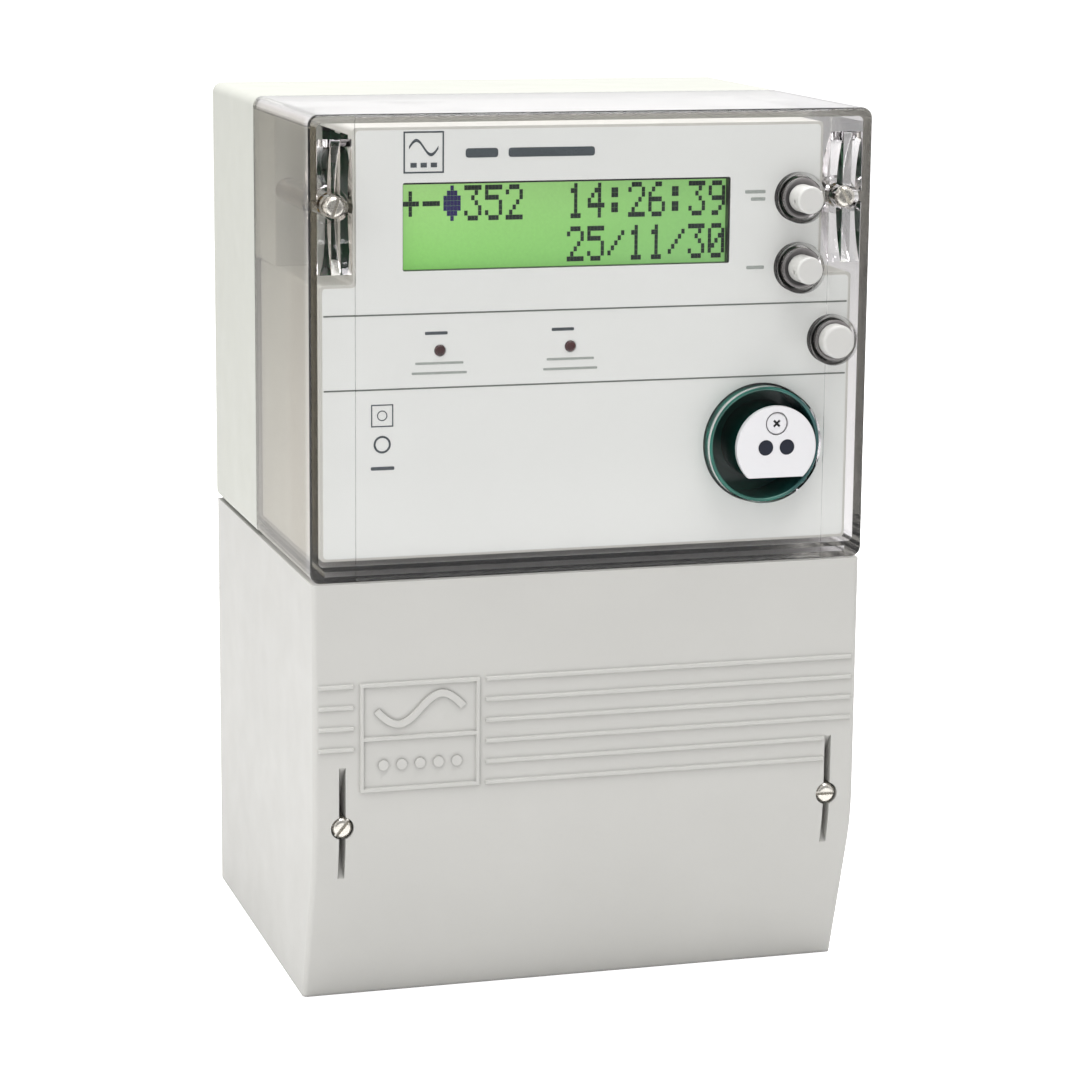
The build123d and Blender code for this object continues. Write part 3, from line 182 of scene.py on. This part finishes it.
def moulded(name, colour, rough=0.5, grain=0.0005, depth=0.00002, radius=0.0005, painted_crease_shade=0.0):
    """Moulded plastic: spark-eroded grain, faint flow mottling, dust in the grain and paler worn edges, and where
    asked a painted shade in creases and a painted highlight along edges.
    """
    g = Graph(name)
    base = linear(colour)
    broad = g.noise(0.045, 3.0)
    fine = g.noise(grain, 3.0)
    speck = g.span(g.noise(0.0011, 2.0), 0.62, 0.72)
    tone = g.mix(g.span(broad, 0.3, 0.7), scaled(base, 0.98), scaled(base, 1.02))
    tone = g.mix(g.math("MULTIPLY", speck, 0.05), tone, scaled(base, 0.7))
    normal = g.rounded(radius)
    edge = g.edge(normal)
    scuff = g.math("MULTIPLY", edge, g.span(g.noise(0.004, 4.0), 0.45, 0.6, 0.0, 0.25))
    tone = g.mix(scuff, tone, scaled(base, 1.18))
    # painted shade darkens creases by ambient occlusion, and a painted highlight lightens edges
    if painted_crease_shade:
        crease_occlusion = g.node("ShaderNodeAmbientOcclusion", {"Distance": 0.0011}, samples=6).outputs["AO"]
        tone = g.mix(g.span(crease_occlusion, 0.95, 0.45, 0.0, painted_crease_shade), tone, scaled(base, 0.35))
        tone = g.mix(g.math("MULTIPLY", edge, 0.6), tone, scaled(base, 1.35))
    roughness = g.span(g.noise(0.012, 3.0), 0.3, 0.7, rough - 0.06, rough + 0.06)
    relief = g.bump(fine, depth, 0.6, normal)
    return g.done(g.principled(Base_Color=tone, Roughness=roughness, Normal=relief))


def metal(name, colour, rough=0.3, stretch=(60, 1, 60)):
    """Metal with turning or rolling marks, slight tarnish and brighter edges."""
    g = Graph(name)
    base = linear(colour)
    marks = g.noise(0.024, 3.0, g.stretched(stretch))
    patches = g.noise(0.003, 4.0)
    normal = g.rounded(0.00015)
    tone = g.mix(g.span(patches, 0.35, 0.75, 0.0, 0.15), base, scaled(base, 0.45))
    tone = g.mix(g.math("MULTIPLY", g.edge(normal), 0.4), tone, scaled(base, 1.3))
    roughness = g.span(marks, 0.3, 0.7, rough - 0.08, rough + 0.1)
    relief = g.bump(marks, 0.00001, 0.4, normal)
    return g.done(g.principled(Base_Color=tone, Metallic=1.0, Roughness=roughness, Normal=relief))


def clear_plastic(name):
    """Clear polycarbonate that refracts for the eye and lets light through as if thin, with painted shade on its
    side walls and a painted shade ring around each button collar.
    """
    g = Graph(name)
    scratch = g.noise(0.03, 5.0, g.stretched((1, 1, 9)))
    roughness = g.span(scratch, 0.45, 0.75, 0.0, 0.03)
    ripple = g.bump(g.noise(0.02, 1.0), 0.00004, 0.25)
    true_normal = g.node("ShaderNodeNewGeometry").outputs["True Normal"]
    facing = g.node("ShaderNodeSeparateXYZ", {"Vector": true_normal}).outputs
    # painted shade on the side walls: brownish and darker on the left, paler on the right, varied by noise and
    # eased off at the front left edge
    side = g.span(g.math("ABSOLUTE", facing[0]), 0.6, 0.95)
    side_shade_amount = g.span(g.noise(0.04, 3.0, g.stretched((1, 1, 0.3))), 0.3, 0.7, 0.75, 1.0)
    leftward = g.span(g.axes()[0], -0.06, 0.06)
    painted_side_shade = g.mix(leftward, (0.765, 0.745, 0.705, 1), (0.94, 0.935, 0.935, 1))
    front = g.span(g.axes()[1], -0.130, -0.134, 0.0, 0.6)
    left_edge = g.math("MULTIPLY", front, g.math("SUBTRACT", 1.0, leftward))
    side_shade_amount = g.math("MULTIPLY", side_shade_amount, g.math("SUBTRACT", 1.0, left_edge))
    tone = g.mix(g.math("MULTIPLY", side, side_shade_amount), (0.995, 0.99, 0.995, 1), painted_side_shade)
    away, lean = g.from_buttons()
    inner_start, inner_end, outer_start, outer_end = COLLAR_SHADE_RING
    # painted shade: a dark ring around each button collar, deepest to the lower left
    ring = g.math("MULTIPLY", g.span(away, inner_start, inner_end), g.span(away, outer_end, outer_start))
    tone = g.mix(g.math("MULTIPLY", ring, g.span(lean, -0.75, 0.6, 0.12, 0.9)), tone, (0.30, 0.29, 0.29, 1))
    glass = g.node("ShaderNodeBsdfGlass", {"Color": tone, "Roughness": roughness,
                                           "IOR": 1.5, "Normal": ripple}).outputs[0]
    shade = g.mix(side, (0.98, 0.98, 0.98, 1), (0.93, 0.93, 0.92, 1))
    through = g.node("ShaderNodeBsdfTransparent", {"Color": shade}).outputs[0]
    path = g.node("ShaderNodeLightPath").outputs
    passes = g.math("MAXIMUM", path["Is Shadow Ray"], path["Is Diffuse Ray"])
    shader = g.node("ShaderNodeMixShader", {0: passes, 1: glass, 2: through}).outputs[0]
    tint = g.node("ShaderNodeVolumeAbsorption", {"Color": linear("a59ca1"), "Density": 5.0}).outputs[0]
    return g.done(shader, tint)


def printed_film(name, colour):
    """Printed polycarbonate label: fine orange peel and a faint coating sheen."""
    g = Graph(name)
    base = linear(colour)
    peel = g.noise(0.0012, 2.0)
    tone = g.mix(g.span(g.noise(0.06, 3.0), 0.3, 0.7), scaled(base, 0.985), scaled(base, 1.01))
    tone = g.mix(g.span(g.noise(0.0004, 1.0), 0.6, 0.8, 0.0, 0.04), tone, scaled(base, 0.8))
    roughness = g.span(g.noise(0.01, 3.0), 0.3, 0.7, 0.42, 0.55)
    return g.done(g.principled(Base_Color=tone, Roughness=roughness, Normal=g.bump(peel, 0.00001, 0.3)))


def ink(name, colour, density=1.0):
    """Screen-printed ink, a little broken up where the film's texture shows through."""
    g = Graph(name)
    base = linear(colour)
    broken = g.span(g.noise(0.0005, 3.0), 0.3, 0.62, 1.0 - density * 0.5, 1.0)
    tone = g.mix(broken, scaled(base, 1.7), base)
    relief = g.bump(g.noise(0.0003, 2.0), 0.00001, 0.5)
    return g.done(g.principled(Base_Color=tone, Roughness=0.6, Normal=relief))


def display_light(name, low, high):
    """Back-lit yellow-green glass: brighter at the upper left, greener and darker at the lower right."""
    g = Graph(name)
    x, _, z = g.axes()[:3]
    across = g.span(x, low.x, high.x)
    up = g.span(z, low.z, high.z)
    warm = g.mix(across, linear("cdf4a8"), linear("92cf76"))
    tone = g.mix(g.span(up, 0.0, 1.0, 0.0, 0.65), g.mix(across, linear("88d966"), linear("92cb80")), warm)
    tone = g.mix(g.span(g.noise(0.02, 2.0), 0.3, 0.7, 0.0, 0.12), tone, linear("8cd860"))
    glow = g.span(g.noise(0.0007, 1.0), 0.2, 0.8, 0.56, 0.62)
    return g.done(g.principled(Base_Color=g.mix(1.0, tone, (0.35, 0.35, 0.35, 1), "MULTIPLY"), Roughness=0.12,
                               Emission_Color=tone, Emission_Strength=glow, Coat_Weight=0.4))


def tinted(name, colour, rough=0.1, glow=0.0, coat=0.6):
    """Deep-coloured glossy plastic with faint flow lines."""
    g = Graph(name)
    base = linear(colour)
    flow = g.noise(0.006, 3.0, g.stretched((1, 1, 0.4)))
    tone = g.mix(g.span(flow, 0.35, 0.65), scaled(base, 0.85), scaled(base, 1.2))
    normal = g.rounded(0.0003)
    relief = g.bump(g.noise(0.0015, 2.0), 0.000008, 0.4, normal)
    return g.done(g.principled(Base_Color=tone, Roughness=g.span(g.noise(0.003), 0.3, 0.7, rough, rough + 0.08),
                               Normal=relief, Coat_Weight=coat, Emission_Color=base, Emission_Strength=glow))


def port_plastic(name, floor_colour, highlight_colour, centre):
    """Glossy green plastic over the dark floor of the well, with a painted highlight on its wall and rim and a
    painted bluish reflection to the right.
    """
    g = Graph(name)
    dx, _, away = g.from_axis(centre)
    # painted highlight: lighter green towards the wall and rim, broken up by noise
    glare = g.math("MULTIPLY", g.span(away, 0.0115, 0.0165), g.span(g.noise(0.012, 1.5), 0.35, 0.6, 0.25, 1.0))
    tone = g.mix(glare, linear(floor_colour), linear(highlight_colour))
    # painted bluish reflection on the right side of the port
    tone = g.mix(g.math("MULTIPLY", g.span(dx, 0.002, 0.014), 0.5), tone, linear("22354a"))
    relief = g.bump(g.noise(0.003, 2.0), 0.00003, 0.5, g.rounded(0.0003))
    return g.done(g.principled(Base_Color=tone, Roughness=g.span(g.noise(0.004), 0.3, 0.7, 0.14, 0.24),
                               Normal=relief, Coat_Weight=0.5))


def drive_recess(name, colour, front):
    """White screw head whose cross recess and rim fall into shadow."""
    g = Graph(name)
    base = linear(colour)
    _, y, _ = g.axes()[:3]
    deep = g.span(y, front + 0.00015, front + 0.0003)
    tone = g.mix(g.span(g.noise(0.001, 2.0), 0.3, 0.7), scaled(base, 0.96), base)
    tone = g.mix(deep, tone, linear("202224"))
    relief = g.bump(g.noise(0.0004, 2.0), 0.00001, 0.5, g.rounded(0.0002))
    roughness = g.span(g.noise(0.002), 0.3, 0.7, 0.35, 0.45)
    return g.done(g.principled(Base_Color=tone, Roughness=roughness, Normal=relief))


def rubber(name, colour, painted_shading=False):
    """Matt rubber with a dusty bloom and, where asked, a painted lighter band and a painted shade crescent around
    each button.
    """
    g = Graph(name)
    base = linear(colour)
    bloom = g.span(g.noise(0.002, 4.0), 0.45, 0.7, 0.0, 0.35)
    tone = g.mix(bloom, base, scaled(base, 1.8))
    if painted_shading:
        # painted light on the outer band and painted shade on a crescent near the button, deepest to the lower
        # left
        away, lean = g.from_buttons()
        crescent_shade = g.math("MULTIPLY", g.span(away, 0.0056, 0.0048), g.span(lean, -0.7, 0.5, 0.3, 1.0))
        tone = g.mix(crescent_shade, g.mix(g.span(away, 0.004, 0.006), tone, scaled(base, 1.9)), scaled(base, 0.18))
    relief = g.bump(g.noise(0.0002, 3.0), 0.00003, 0.6, g.rounded(0.0003))
    return g.done(g.principled(Base_Color=tone, Roughness=0.75, Normal=relief))


def board(name, colour):
    """Solder mask over copper tracks, with tinned pads."""
    g = Graph(name)
    base = linear(colour)
    tracks = g.node("ShaderNodeTexBrick", {"Vector": g.place, "Scale": 1.0, "Mortar Size": 0.00018,
                                           "Brick Width": 0.007, "Row Height": 0.0013, "Color1": (0, 0, 0, 1),
                                           "Color2": (0, 0, 0, 1), "Mortar": (1, 1, 1, 1)}).outputs[0]
    pads = g.node("ShaderNodeTexVoronoi", {"Vector": g.place, "Scale": 260.0}).outputs["Distance"]
    pad = g.span(pads, 0.16, 0.12)
    tone = g.mix(g.math("MULTIPLY", tracks, 0.6), base, scaled(base, 1.9))
    tone = g.mix(pad, tone, linear("c9c4b4"))
    relief = g.bump(tracks, 0.00003, 0.5)
    return g.done(g.principled(Base_Color=tone, Roughness=g.span(pad, 0.0, 1.0, 0.3, 0.22),
                               Metallic=g.math("MULTIPLY", pad, 0.9), Normal=relief))


def wound(name, colour, pitch, direction):
    """Taped or wound surface: turns along one axis with slack between them."""
    g = Graph(name)
    base = linear(colour)
    turns = g.node("ShaderNodeTexWave", {"Vector": g.place, "Scale": 0.3183 / pitch, "Distortion": 0.6,
                                         "Detail": 1.0}, bands_direction=direction).outputs[1]
    tone = g.mix(turns, scaled(base, 0.72), scaled(base, 1.12))
    return g.done(g.principled(Base_Color=tone, Roughness=0.45, Normal=g.bump(turns, 0.0002, 0.6)))


glass_low, glass_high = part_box("lcd_glass")
materials = {
    "housing_plastic": moulded("housing_plastic", "bdbeb6", 0.48),
    # cover plastic carries painted shade in its creases and a painted highlight on its edges
    "cover_plastic": moulded("cover_plastic", "bcbbb7", 0.5, radius=0.00025, painted_crease_shade=0.6),
    "clear_plastic": clear_plastic("clear_plastic"),
    "panel_plastic": moulded("panel_plastic", "c3c2bb", 0.42, depth=0.00001),
    "label_film": printed_film("label_film", "dadcd8"),
    "black_rubber": rubber("black_rubber", "1b1b1c"),
    "grey_rubber": rubber("grey_rubber", "6b6868", True),
    "zinc_steel": metal("zinc_steel", "c3c4c0", 0.34),
    "nickel_steel": metal("nickel_steel", "dcd8d0", 0.26),
    "brass": metal("brass", "c9a86a", 0.3),
    "copper": metal("copper", "c98e6b", 0.3, (1, 1, 60)),
    "terminal_phenolic": moulded("terminal_phenolic", "2b2b2c", 0.5),
    "green_plastic": moulded("green_plastic", "2f7a4c", 0.35),
    "circuit_board": board("circuit_board", "1e5a38"),
    "black_component": moulded("black_component", "232325", 0.4, grain=0.0002),
    "transformer_tape": wound("transformer_tape", "cfb24e", 0.0022, "Z"),
    "toroid_resin": wound("toroid_resin", "34507c", 0.0008, "Y"),
    "capacitor_sleeve": tinted("capacitor_sleeve", "232a4c", 0.3),
    "blue_lacquer": tinted("blue_lacquer", "2c5aa0", 0.3),
    "battery_sleeve": tinted("battery_sleeve", "a8442c", 0.3),
    "wire_insulation": tinted("wire_insulation", "9a2f28", 0.4),
    "ribbon_grey": wound("ribbon_grey", "a5a5a6", 0.00127, "X"),
    "lcd_frame_steel": moulded("lcd_frame_steel", "1c1e1c", 0.35, grain=0.0002),
    "lcd_glass": display_light("lcd_glass", glass_low, glass_high),
    "lcd_light": tinted("lcd_light", "a8e070", 0.3, 0.4),
    "lamp_lens": tinted("lamp_lens", "3a0d0c", 0.12),
    # the second colour is a painted highlight on the well's wall and rim
    "port_green": port_plastic("port_green", "0f3a33", "2f6f62", middle("port_well")),
    "white_plastic": moulded("white_plastic", "dcdbdd", 0.35, depth=0.000008),
    "infrared_filter": tinted("infrared_filter", "081024", 0.35, coat=0.0),
    "button_plastic": moulded("button_plastic", "c6c5c2", 0.32, depth=0.000008),
}

for part in frame["record"]["subparts"]:
    shown = nodes[part["node"]]
    shown.data.materials.clear()
    shown.data.materials.append(materials[part["material_slot"]])
nodes["port_screw"].data.materials[0] = drive_recess("port_screw_head", "dcdbdd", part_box("port_screw")[0].y)


# ---------------------------------------------------------------- mesh helpers
CIRCLE_STEPS = 40
CORNER_STEPS = 3


def finish_piece(name, bm, material):
    """Turn a mesh under construction into a piece that rides the housing."""
    mesh = bpy.data.meshes.new(name)
    bmesh.ops.recalc_face_normals(bm, faces=bm.faces)
    bm.to_mesh(mesh)
    bm.free()
    piece = bpy.data.objects.new(name, mesh)
    piece.data.materials.append(material)
    scene.collection.objects.link(piece)
    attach(piece, "housing")


def plate(bm, outline, back, front):
    """A flat prism standing off the plane y=-back to y=-front, outline in (x, z) metres."""
    rear = [bm.verts.new((x, -back, z)) for x, z in outline]
    fore = [bm.verts.new((x, -front, z)) for x, z in outline]
    bm.faces.new(rear)
    bm.faces.new(list(reversed(fore)))
    count = len(outline)
    for i in range(count):
        j = (i + 1) % count
        bm.faces.new((rear[i], fore[i], fore[j], rear[j]))


def bar(bm, x0, x1, z0, z1, back, front, radius=0.0):
    """A flat bar with rounded corners."""
    if radius <= 0:
        plate(bm, [(x0, z0), (x1, z0), (x1, z1), (x0, z1)], back, front)
        return
    outline = []
    centres = [(x1 - radius, z0 + radius, -90), (x1 - radius, z1 - radius, 0),
               (x0 + radius, z1 - radius, 90), (x0 + radius, z0 + radius, 180)]
    for cx, cz, start in centres:
        for i in range(CORNER_STEPS + 1):
            a = math.radians(start + 90 * i / CORNER_STEPS)
            outline.append((cx + radius * math.cos(a), cz + radius * math.sin(a)))
    plate(bm, outline, back, front)


def frame_plate(bm, outer, inner, back, front):
    """A flat loop between two outlines of equal length."""
    count = len(outer)
    rings = []
    for outline in (outer, inner):
        rings.append([bm.verts.new((x, -back, z)) for x, z in outline])
        rings.append([bm.verts.new((x, -front, z)) for x, z in outline])
    ob, of, ib, inf = rings
    for i in range(count):
        j = (i + 1) % count
        bm.faces.new((ob[i], ob[j], of[j], of[i]))
        bm.faces.new((ib[i], inf[i], inf[j], ib[j]))
        bm.faces.new((of[i], of[j], inf[j], inf[i]))
        bm.faces.new((ob[i], ib[i], ib[j], ob[j]))


def circle(cx, cz, radius):
    angles = [2 * math.pi * i / CIRCLE_STEPS for i in range(CIRCLE_STEPS)]
    return [(cx + radius * math.cos(a), cz + radius * math.sin(a)) for a in angles]


def box_outline(cx, cz, half):
    return [(cx - half, cz - half), (cx + half, cz - half), (cx + half, cz + half), (cx - half, cz + half)]


# ---------------------------------------------------------------- display characters
DOTS = {
    "0": "01110 10001 10011 10101 11001 10001 01110", "1": "00100 01100 00100 00100 00100 00100 01110",
    "2": "01110 10001 00001 00010 00100 01000 11111", "3": "11111 00010 00100 00010 00001 10001 01110",
    "4": "00010 00110 01010 10010 11111 00010 00010", "5": "11111 10000 11110 00001 00001 10001 01110",
    "6": "00110 01000 10000 11110 10001 10001 01110", "7": "11111 10001 00001 00010 00100 00100 00100",
    "8": "01110 10001 10001 01110 10001 10001 01110", "9": "01110 10001 10001 01111 00001 00010 01100",
    ":": "00000 01100 01100 00000 01100 01100 00000", "/": "00000 00001 00010 00100 01000 10000 00000",
    "+": "00000 00100 00100 11111 00100 00100 00000", "-": "00000 00000 00000 11111 00000 00000 00000",
    "*": "00100 01110 11111 11111 11111 01110 00100", " ": "00000 00000 00000 00000 00000 00000 00000",
}
ROWS = ("+-*352  14:26:39", "        25/11/30")
window_x0, window_x1 = -55.0 * MM, 41.2 * MM
window_z0, window_z1 = 87.0 * MM, 111.6 * MM
glass_face = -glass_low.y
label_face = -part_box("panel_label")[0].y
CHARACTERS = 16
cell = (window_x1 - window_x0) / CHARACTERS
dot_pitch_x = cell / 6
dot_pitch_z = 1.42 * MM
dot_x, dot_z = 0.97 * dot_pitch_x, 0.97 * dot_pitch_z
ROW_PITCH = 12.2 * MM
TOP_MARGIN, LEFT_MARGIN = 1.2 * MM, 0.35 * MM
DOT_BACK, DOT_FRONT = glass_face + 0.00001, glass_face + 0.00006

bm = bmesh.new()
cursor = bmesh.new()
for row, text in enumerate(ROWS):
    top = window_z1 - TOP_MARGIN - row * ROW_PITCH
    for column, letter in enumerate(text):
        left = window_x0 + column * cell + LEFT_MARGIN
        target = cursor if letter == "*" else bm
        for line, bits in enumerate(DOTS[letter].split()):
            for i, bit in enumerate(bits):
                if bit == "1":
                    x = left + i * dot_pitch_x
                    z = top - line * dot_pitch_z
                    bar(target, x, x + dot_x, z - dot_z, z, DOT_BACK, DOT_FRONT)
finish_piece("lcd_characters", bm, ink("display_dots", "0a1c18", 0.2))
finish_piece("lcd_cursor", cursor, ink("cursor_dots", "1c1058", 0.2))

# ---------------------------------------------------------------- printing on the panel
PRINT_BACK, PRINT_FRONT = label_face + 0.00001, label_face + 0.00005
grey_ink = ink("panel_ink", "5d625b")
dark_ink = ink("panel_dark_ink", "3c4347")
faint_ink = ink("panel_faint_ink", "8f958f")


def print_bars(name, material, bars):
    bm = bmesh.new()
    for x0, x1, z0, z1 in bars:
        radius = min(z1 - z0, x1 - x0) * 0.3 * MM
        bar(bm, x0 * MM, x1 * MM, z0 * MM, z1 * MM, PRINT_BACK, PRINT_FRONT, radius)
    finish_piece(name, bm, material)


# outlines of the printed bars in millimetres: x from, x to, z from, z to
print_bars("panel_rules", grey_ink, [(-77.6, 77.6, 74.75, 75.2), (-77.6, 77.6, 53.75, 54.2)])
print_bars("panel_title_mark", dark_ink, [(-37.0, -27.6, 118.3, 120.9), (-24.6, 0.6, 118.3, 120.9)])
print_bars("button_marks", faint_ink,
           [(45.6, 51.8, 106.7, 107.7), (47.4, 51.8, 104.6, 105.6), (46.4, 51.8, 85.0, 86.0)])
print_bars("lamp_marks", dark_ink, [(-48.6, -42.0, 69.0, 69.9), (-11.6, -5.0, 69.0, 69.9)])
print_bars("lamp_faint_marks", faint_ink,
           [(-51.4, -37.4, 60.6, 61.3), (-52.4, -36.4, 57.8, 58.5),
            (-13.0, 1.0, 60.6, 61.3), (-14.0, 2.0, 57.8, 58.5)])
print_bars("panel_small_marks", dark_ink, [(-64.2, -57.4, 31.1, 32.1)])

# two plain symbols: a square around a ring, and a ring below
bm = bmesh.new()
SYMBOL_X, SQUARE_Z, RING_Z = -60.9 * MM, 46.6 * MM, 38.4 * MM
SYMBOLS = ((box_outline, SQUARE_Z, 3.2, 2.85), (circle, SQUARE_Z, 1.5, 1.2), (circle, RING_Z, 2.5, 1.9))
for shape, z, outside, inside in SYMBOLS:
    outer, inner = shape(SYMBOL_X, z, outside * MM), shape(SYMBOL_X, z, inside * MM)
    frame_plate(bm, outer, inner, PRINT_BACK, PRINT_FRONT)
finish_piece("panel_symbols", bm, dark_ink)

# a plain emblem: a square frame with a level wave and three bars under it
bm = bmesh.new()
EMBLEM_X, EMBLEM_Z, EMBLEM_HALF, LINE = -49.0 * MM, 120.0 * MM, 5.8 * MM, 0.45 * MM
WAVE_STEPS, WAVE_LENGTH, WAVE_HEIGHT, WAVE_Z = 24, 8.4 * MM, 2.0 * MM, EMBLEM_Z + 1.3 * MM
outer = box_outline(EMBLEM_X, EMBLEM_Z, EMBLEM_HALF)
inner = box_outline(EMBLEM_X, EMBLEM_Z, EMBLEM_HALF - LINE)
frame_plate(bm, outer, inner, PRINT_BACK, PRINT_FRONT)
wave = []
for side in (1, -1):
    for i in range(WAVE_STEPS + 1)[::side]:
        t = i / WAVE_STEPS
        x = EMBLEM_X + (t - 0.5) * WAVE_LENGTH
        wave.append((x, WAVE_Z + WAVE_HEIGHT * math.sin(2 * math.pi * t) + side * LINE))
plate(bm, wave, PRINT_BACK, PRINT_FRONT)
for i in range(3):
    x = EMBLEM_X + (i - 1) * 2.9 * MM
    bar(bm, x - 0.9 * MM, x + 0.9 * MM, EMBLEM_Z - 4.2 * MM, EMBLEM_Z - 2.9 * MM, PRINT_BACK, PRINT_FRONT)
finish_piece("panel_emblem", bm, dark_ink)

# black liner around the display window, from the glass to the label; its wider top and right sides are painted
# shade of the window's inner walls
bm = bmesh.new()
LINER_SHADE_WIDTH = 0.5 * MM
LINER_THIN = 0.14 * MM
outer = [(window_x0, window_z0), (window_x1, window_z0), (window_x1, window_z1), (window_x0, window_z1)]
inner = [(window_x0 + LINER_THIN, window_z0 + LINER_THIN), (window_x1 - LINER_SHADE_WIDTH, window_z0 + LINER_THIN),
         (window_x1 - LINER_SHADE_WIDTH, window_z1 - LINER_SHADE_WIDTH), (window_x0 + LINER_THIN, window_z1 - LINER_SHADE_WIDTH)]
frame_plate(bm, outer, inner, glass_face + 0.00002, label_face - 0.0001)
finish_piece("display_liner_and_shade", bm, materials["lcd_frame_steel"])

# ---------------------------------------------------------------- stage
FLOOR_GAP = 0.2 * MM
bm = bmesh.new()
bmesh.ops.create_grid(bm, x_segments=8, y_segments=8, size=40)
mesh = bpy.data.meshes.new("floor")
bm.to_mesh(mesh)
bm.free()
floor = bpy.data.objects.new("floor", mesh)
floor.location = (0, 0, cad_low.z - FLOOR_GAP)
g = Graph("studio_floor")
floor_tone = g.mix(g.span(g.noise(0.4, 2.0), 0.3, 0.7), (0.93, 0.93, 0.935, 1), (0.95, 0.95, 0.95, 1))
ray = g.node("ShaderNodeLightPath").outputs
lift = g.math("MULTIPLY", ray["Is Camera Ray"], 0.75)
# painted reflection: the floor in front of the meter turns dark only as seen by glossy rays, darkening
# reflections on glossy parts
front = g.math("MULTIPLY", g.span(g.axes()[1], -0.5, -1.0), ray["Is Glossy Ray"])
floor_tone = g.mix(front, floor_tone, (0.25, 0.25, 0.25, 1))
floor.data.materials.append(g.done(g.principled(Base_Color=floor_tone, Roughness=0.8, Specular_IOR_Level=0.1,
                                                Emission_Color=(1, 1, 1, 1), Emission_Strength=lift)))
scene.collection.objects.link(floor)

world = bpy.data.worlds.new("studio")
world.use_nodes = True
sky = world.node_tree
background = sky.nodes["Background"]
background.inputs["Color"].default_value = (1.0, 1.0, 1.0, 1.0)


def sky_node(kind, inputs, **settings):
    made = sky.nodes.new(kind)
    for key, value in settings.items():
        setattr(made, key, value)
    for key, value in inputs.items():
        if isinstance(value, bpy.types.NodeSocket):
            sky.links.new(value, made.inputs[key])
        else:
            made.inputs[key].default_value = value
    return made.outputs


# brighter to the camera, in reflections and through clear plastic than as a light, and dark behind the camera
path = sky_node("ShaderNodeLightPath", {})
mirrored = sky_node("ShaderNodeMath", {0: path["Is Glossy Ray"], 1: path["Is Transmission Ray"]}, operation="ADD")
seen = sky_node("ShaderNodeMath", {0: mirrored[0], 1: path["Is Camera Ray"]}, operation="ADD", use_clamp=True)
heading = sky_node("ShaderNodeTexCoord", {})["Generated"]
along = sky_node("ShaderNodeSeparateXYZ", {0: heading})[1]
falloff = {"Value": along, "From Min": -0.9, "From Max": -0.5, "To Min": 0.35}
behind_camera = sky_node("ShaderNodeMapRange", falloff)
strength = sky_node("ShaderNodeMapRange", {"Value": seen[0], "To Min": 0.45, "To Max": behind_camera[0]})
sky.links.new(strength[0], background.inputs["Strength"])
scene.world = world

LIGHT_TARGET = Vector((0, -0.05, 0))


def softbox(name, place, side, power):
    """A square area light aimed at the middle of the meter."""
    data = bpy.data.lights.new(name, "AREA")
    data.shape = "RECTANGLE"
    data.size = data.size_y = side
    data.energy = power
    lamp = bpy.data.objects.new(name, data)
    lamp.location = place
    lamp.rotation_mode = "QUATERNION"
    lamp.rotation_quaternion = (LIGHT_TARGET - Vector(place)).to_track_quat("-Z", "Y")
    scene.collection.objects.link(lamp)


softbox("key_left", (-1.6, -0.6, 1.0), 1.2, 16)
softbox("fill_top", (0.1, -0.3, 1.9), 1.6, 50)

# ---------------------------------------------------------------- camera
TURN, TILT, ROLL = math.radians(16.46), math.radians(11.45), math.radians(0.49)
FOCAL_SHARE = 3378.5 / 1080  # focal length over image width
CAMERA_PLACE = Vector((-282.9, -1041.8, 200.7)) * MM
SENSOR_WIDTH = 36
BOUNCES = 28  # a line of sight crosses many clear walls
forward = Vector((math.sin(TURN) * math.cos(TILT), math.cos(TURN) * math.cos(TILT), -math.sin(TILT)))
right = Vector((math.cos(TURN), -math.sin(TURN), 0))
up = right.cross(forward)
right_rolled = right * math.cos(ROLL) + up * math.sin(ROLL)
up_rolled = up * math.cos(ROLL) - right * math.sin(ROLL)
camera_data = bpy.data.cameras.new("camera")
camera_data.sensor_width = SENSOR_WIDTH
camera_data.lens = SENSOR_WIDTH * FOCAL_SHARE
camera_data.clip_start, camera_data.clip_end = 0.05, 200
camera = bpy.data.objects.new("camera", camera_data)
turn = Matrix((right_rolled, up_rolled, -forward)).transposed().to_4x4()
turn.translation = CAMERA_PLACE
camera.matrix_world = turn
scene.collection.objects.link(camera)
scene.camera = camera

scene.view_settings.view_transform = "Standard"
scene.cycles.max_bounces = BOUNCES
scene.cycles.transmission_bounces = BOUNCES
scene.cycles.transparent_max_bounces = BOUNCES
scene.cycles.diffuse_bounces = 3
scene.cycles.glossy_bounces = 8
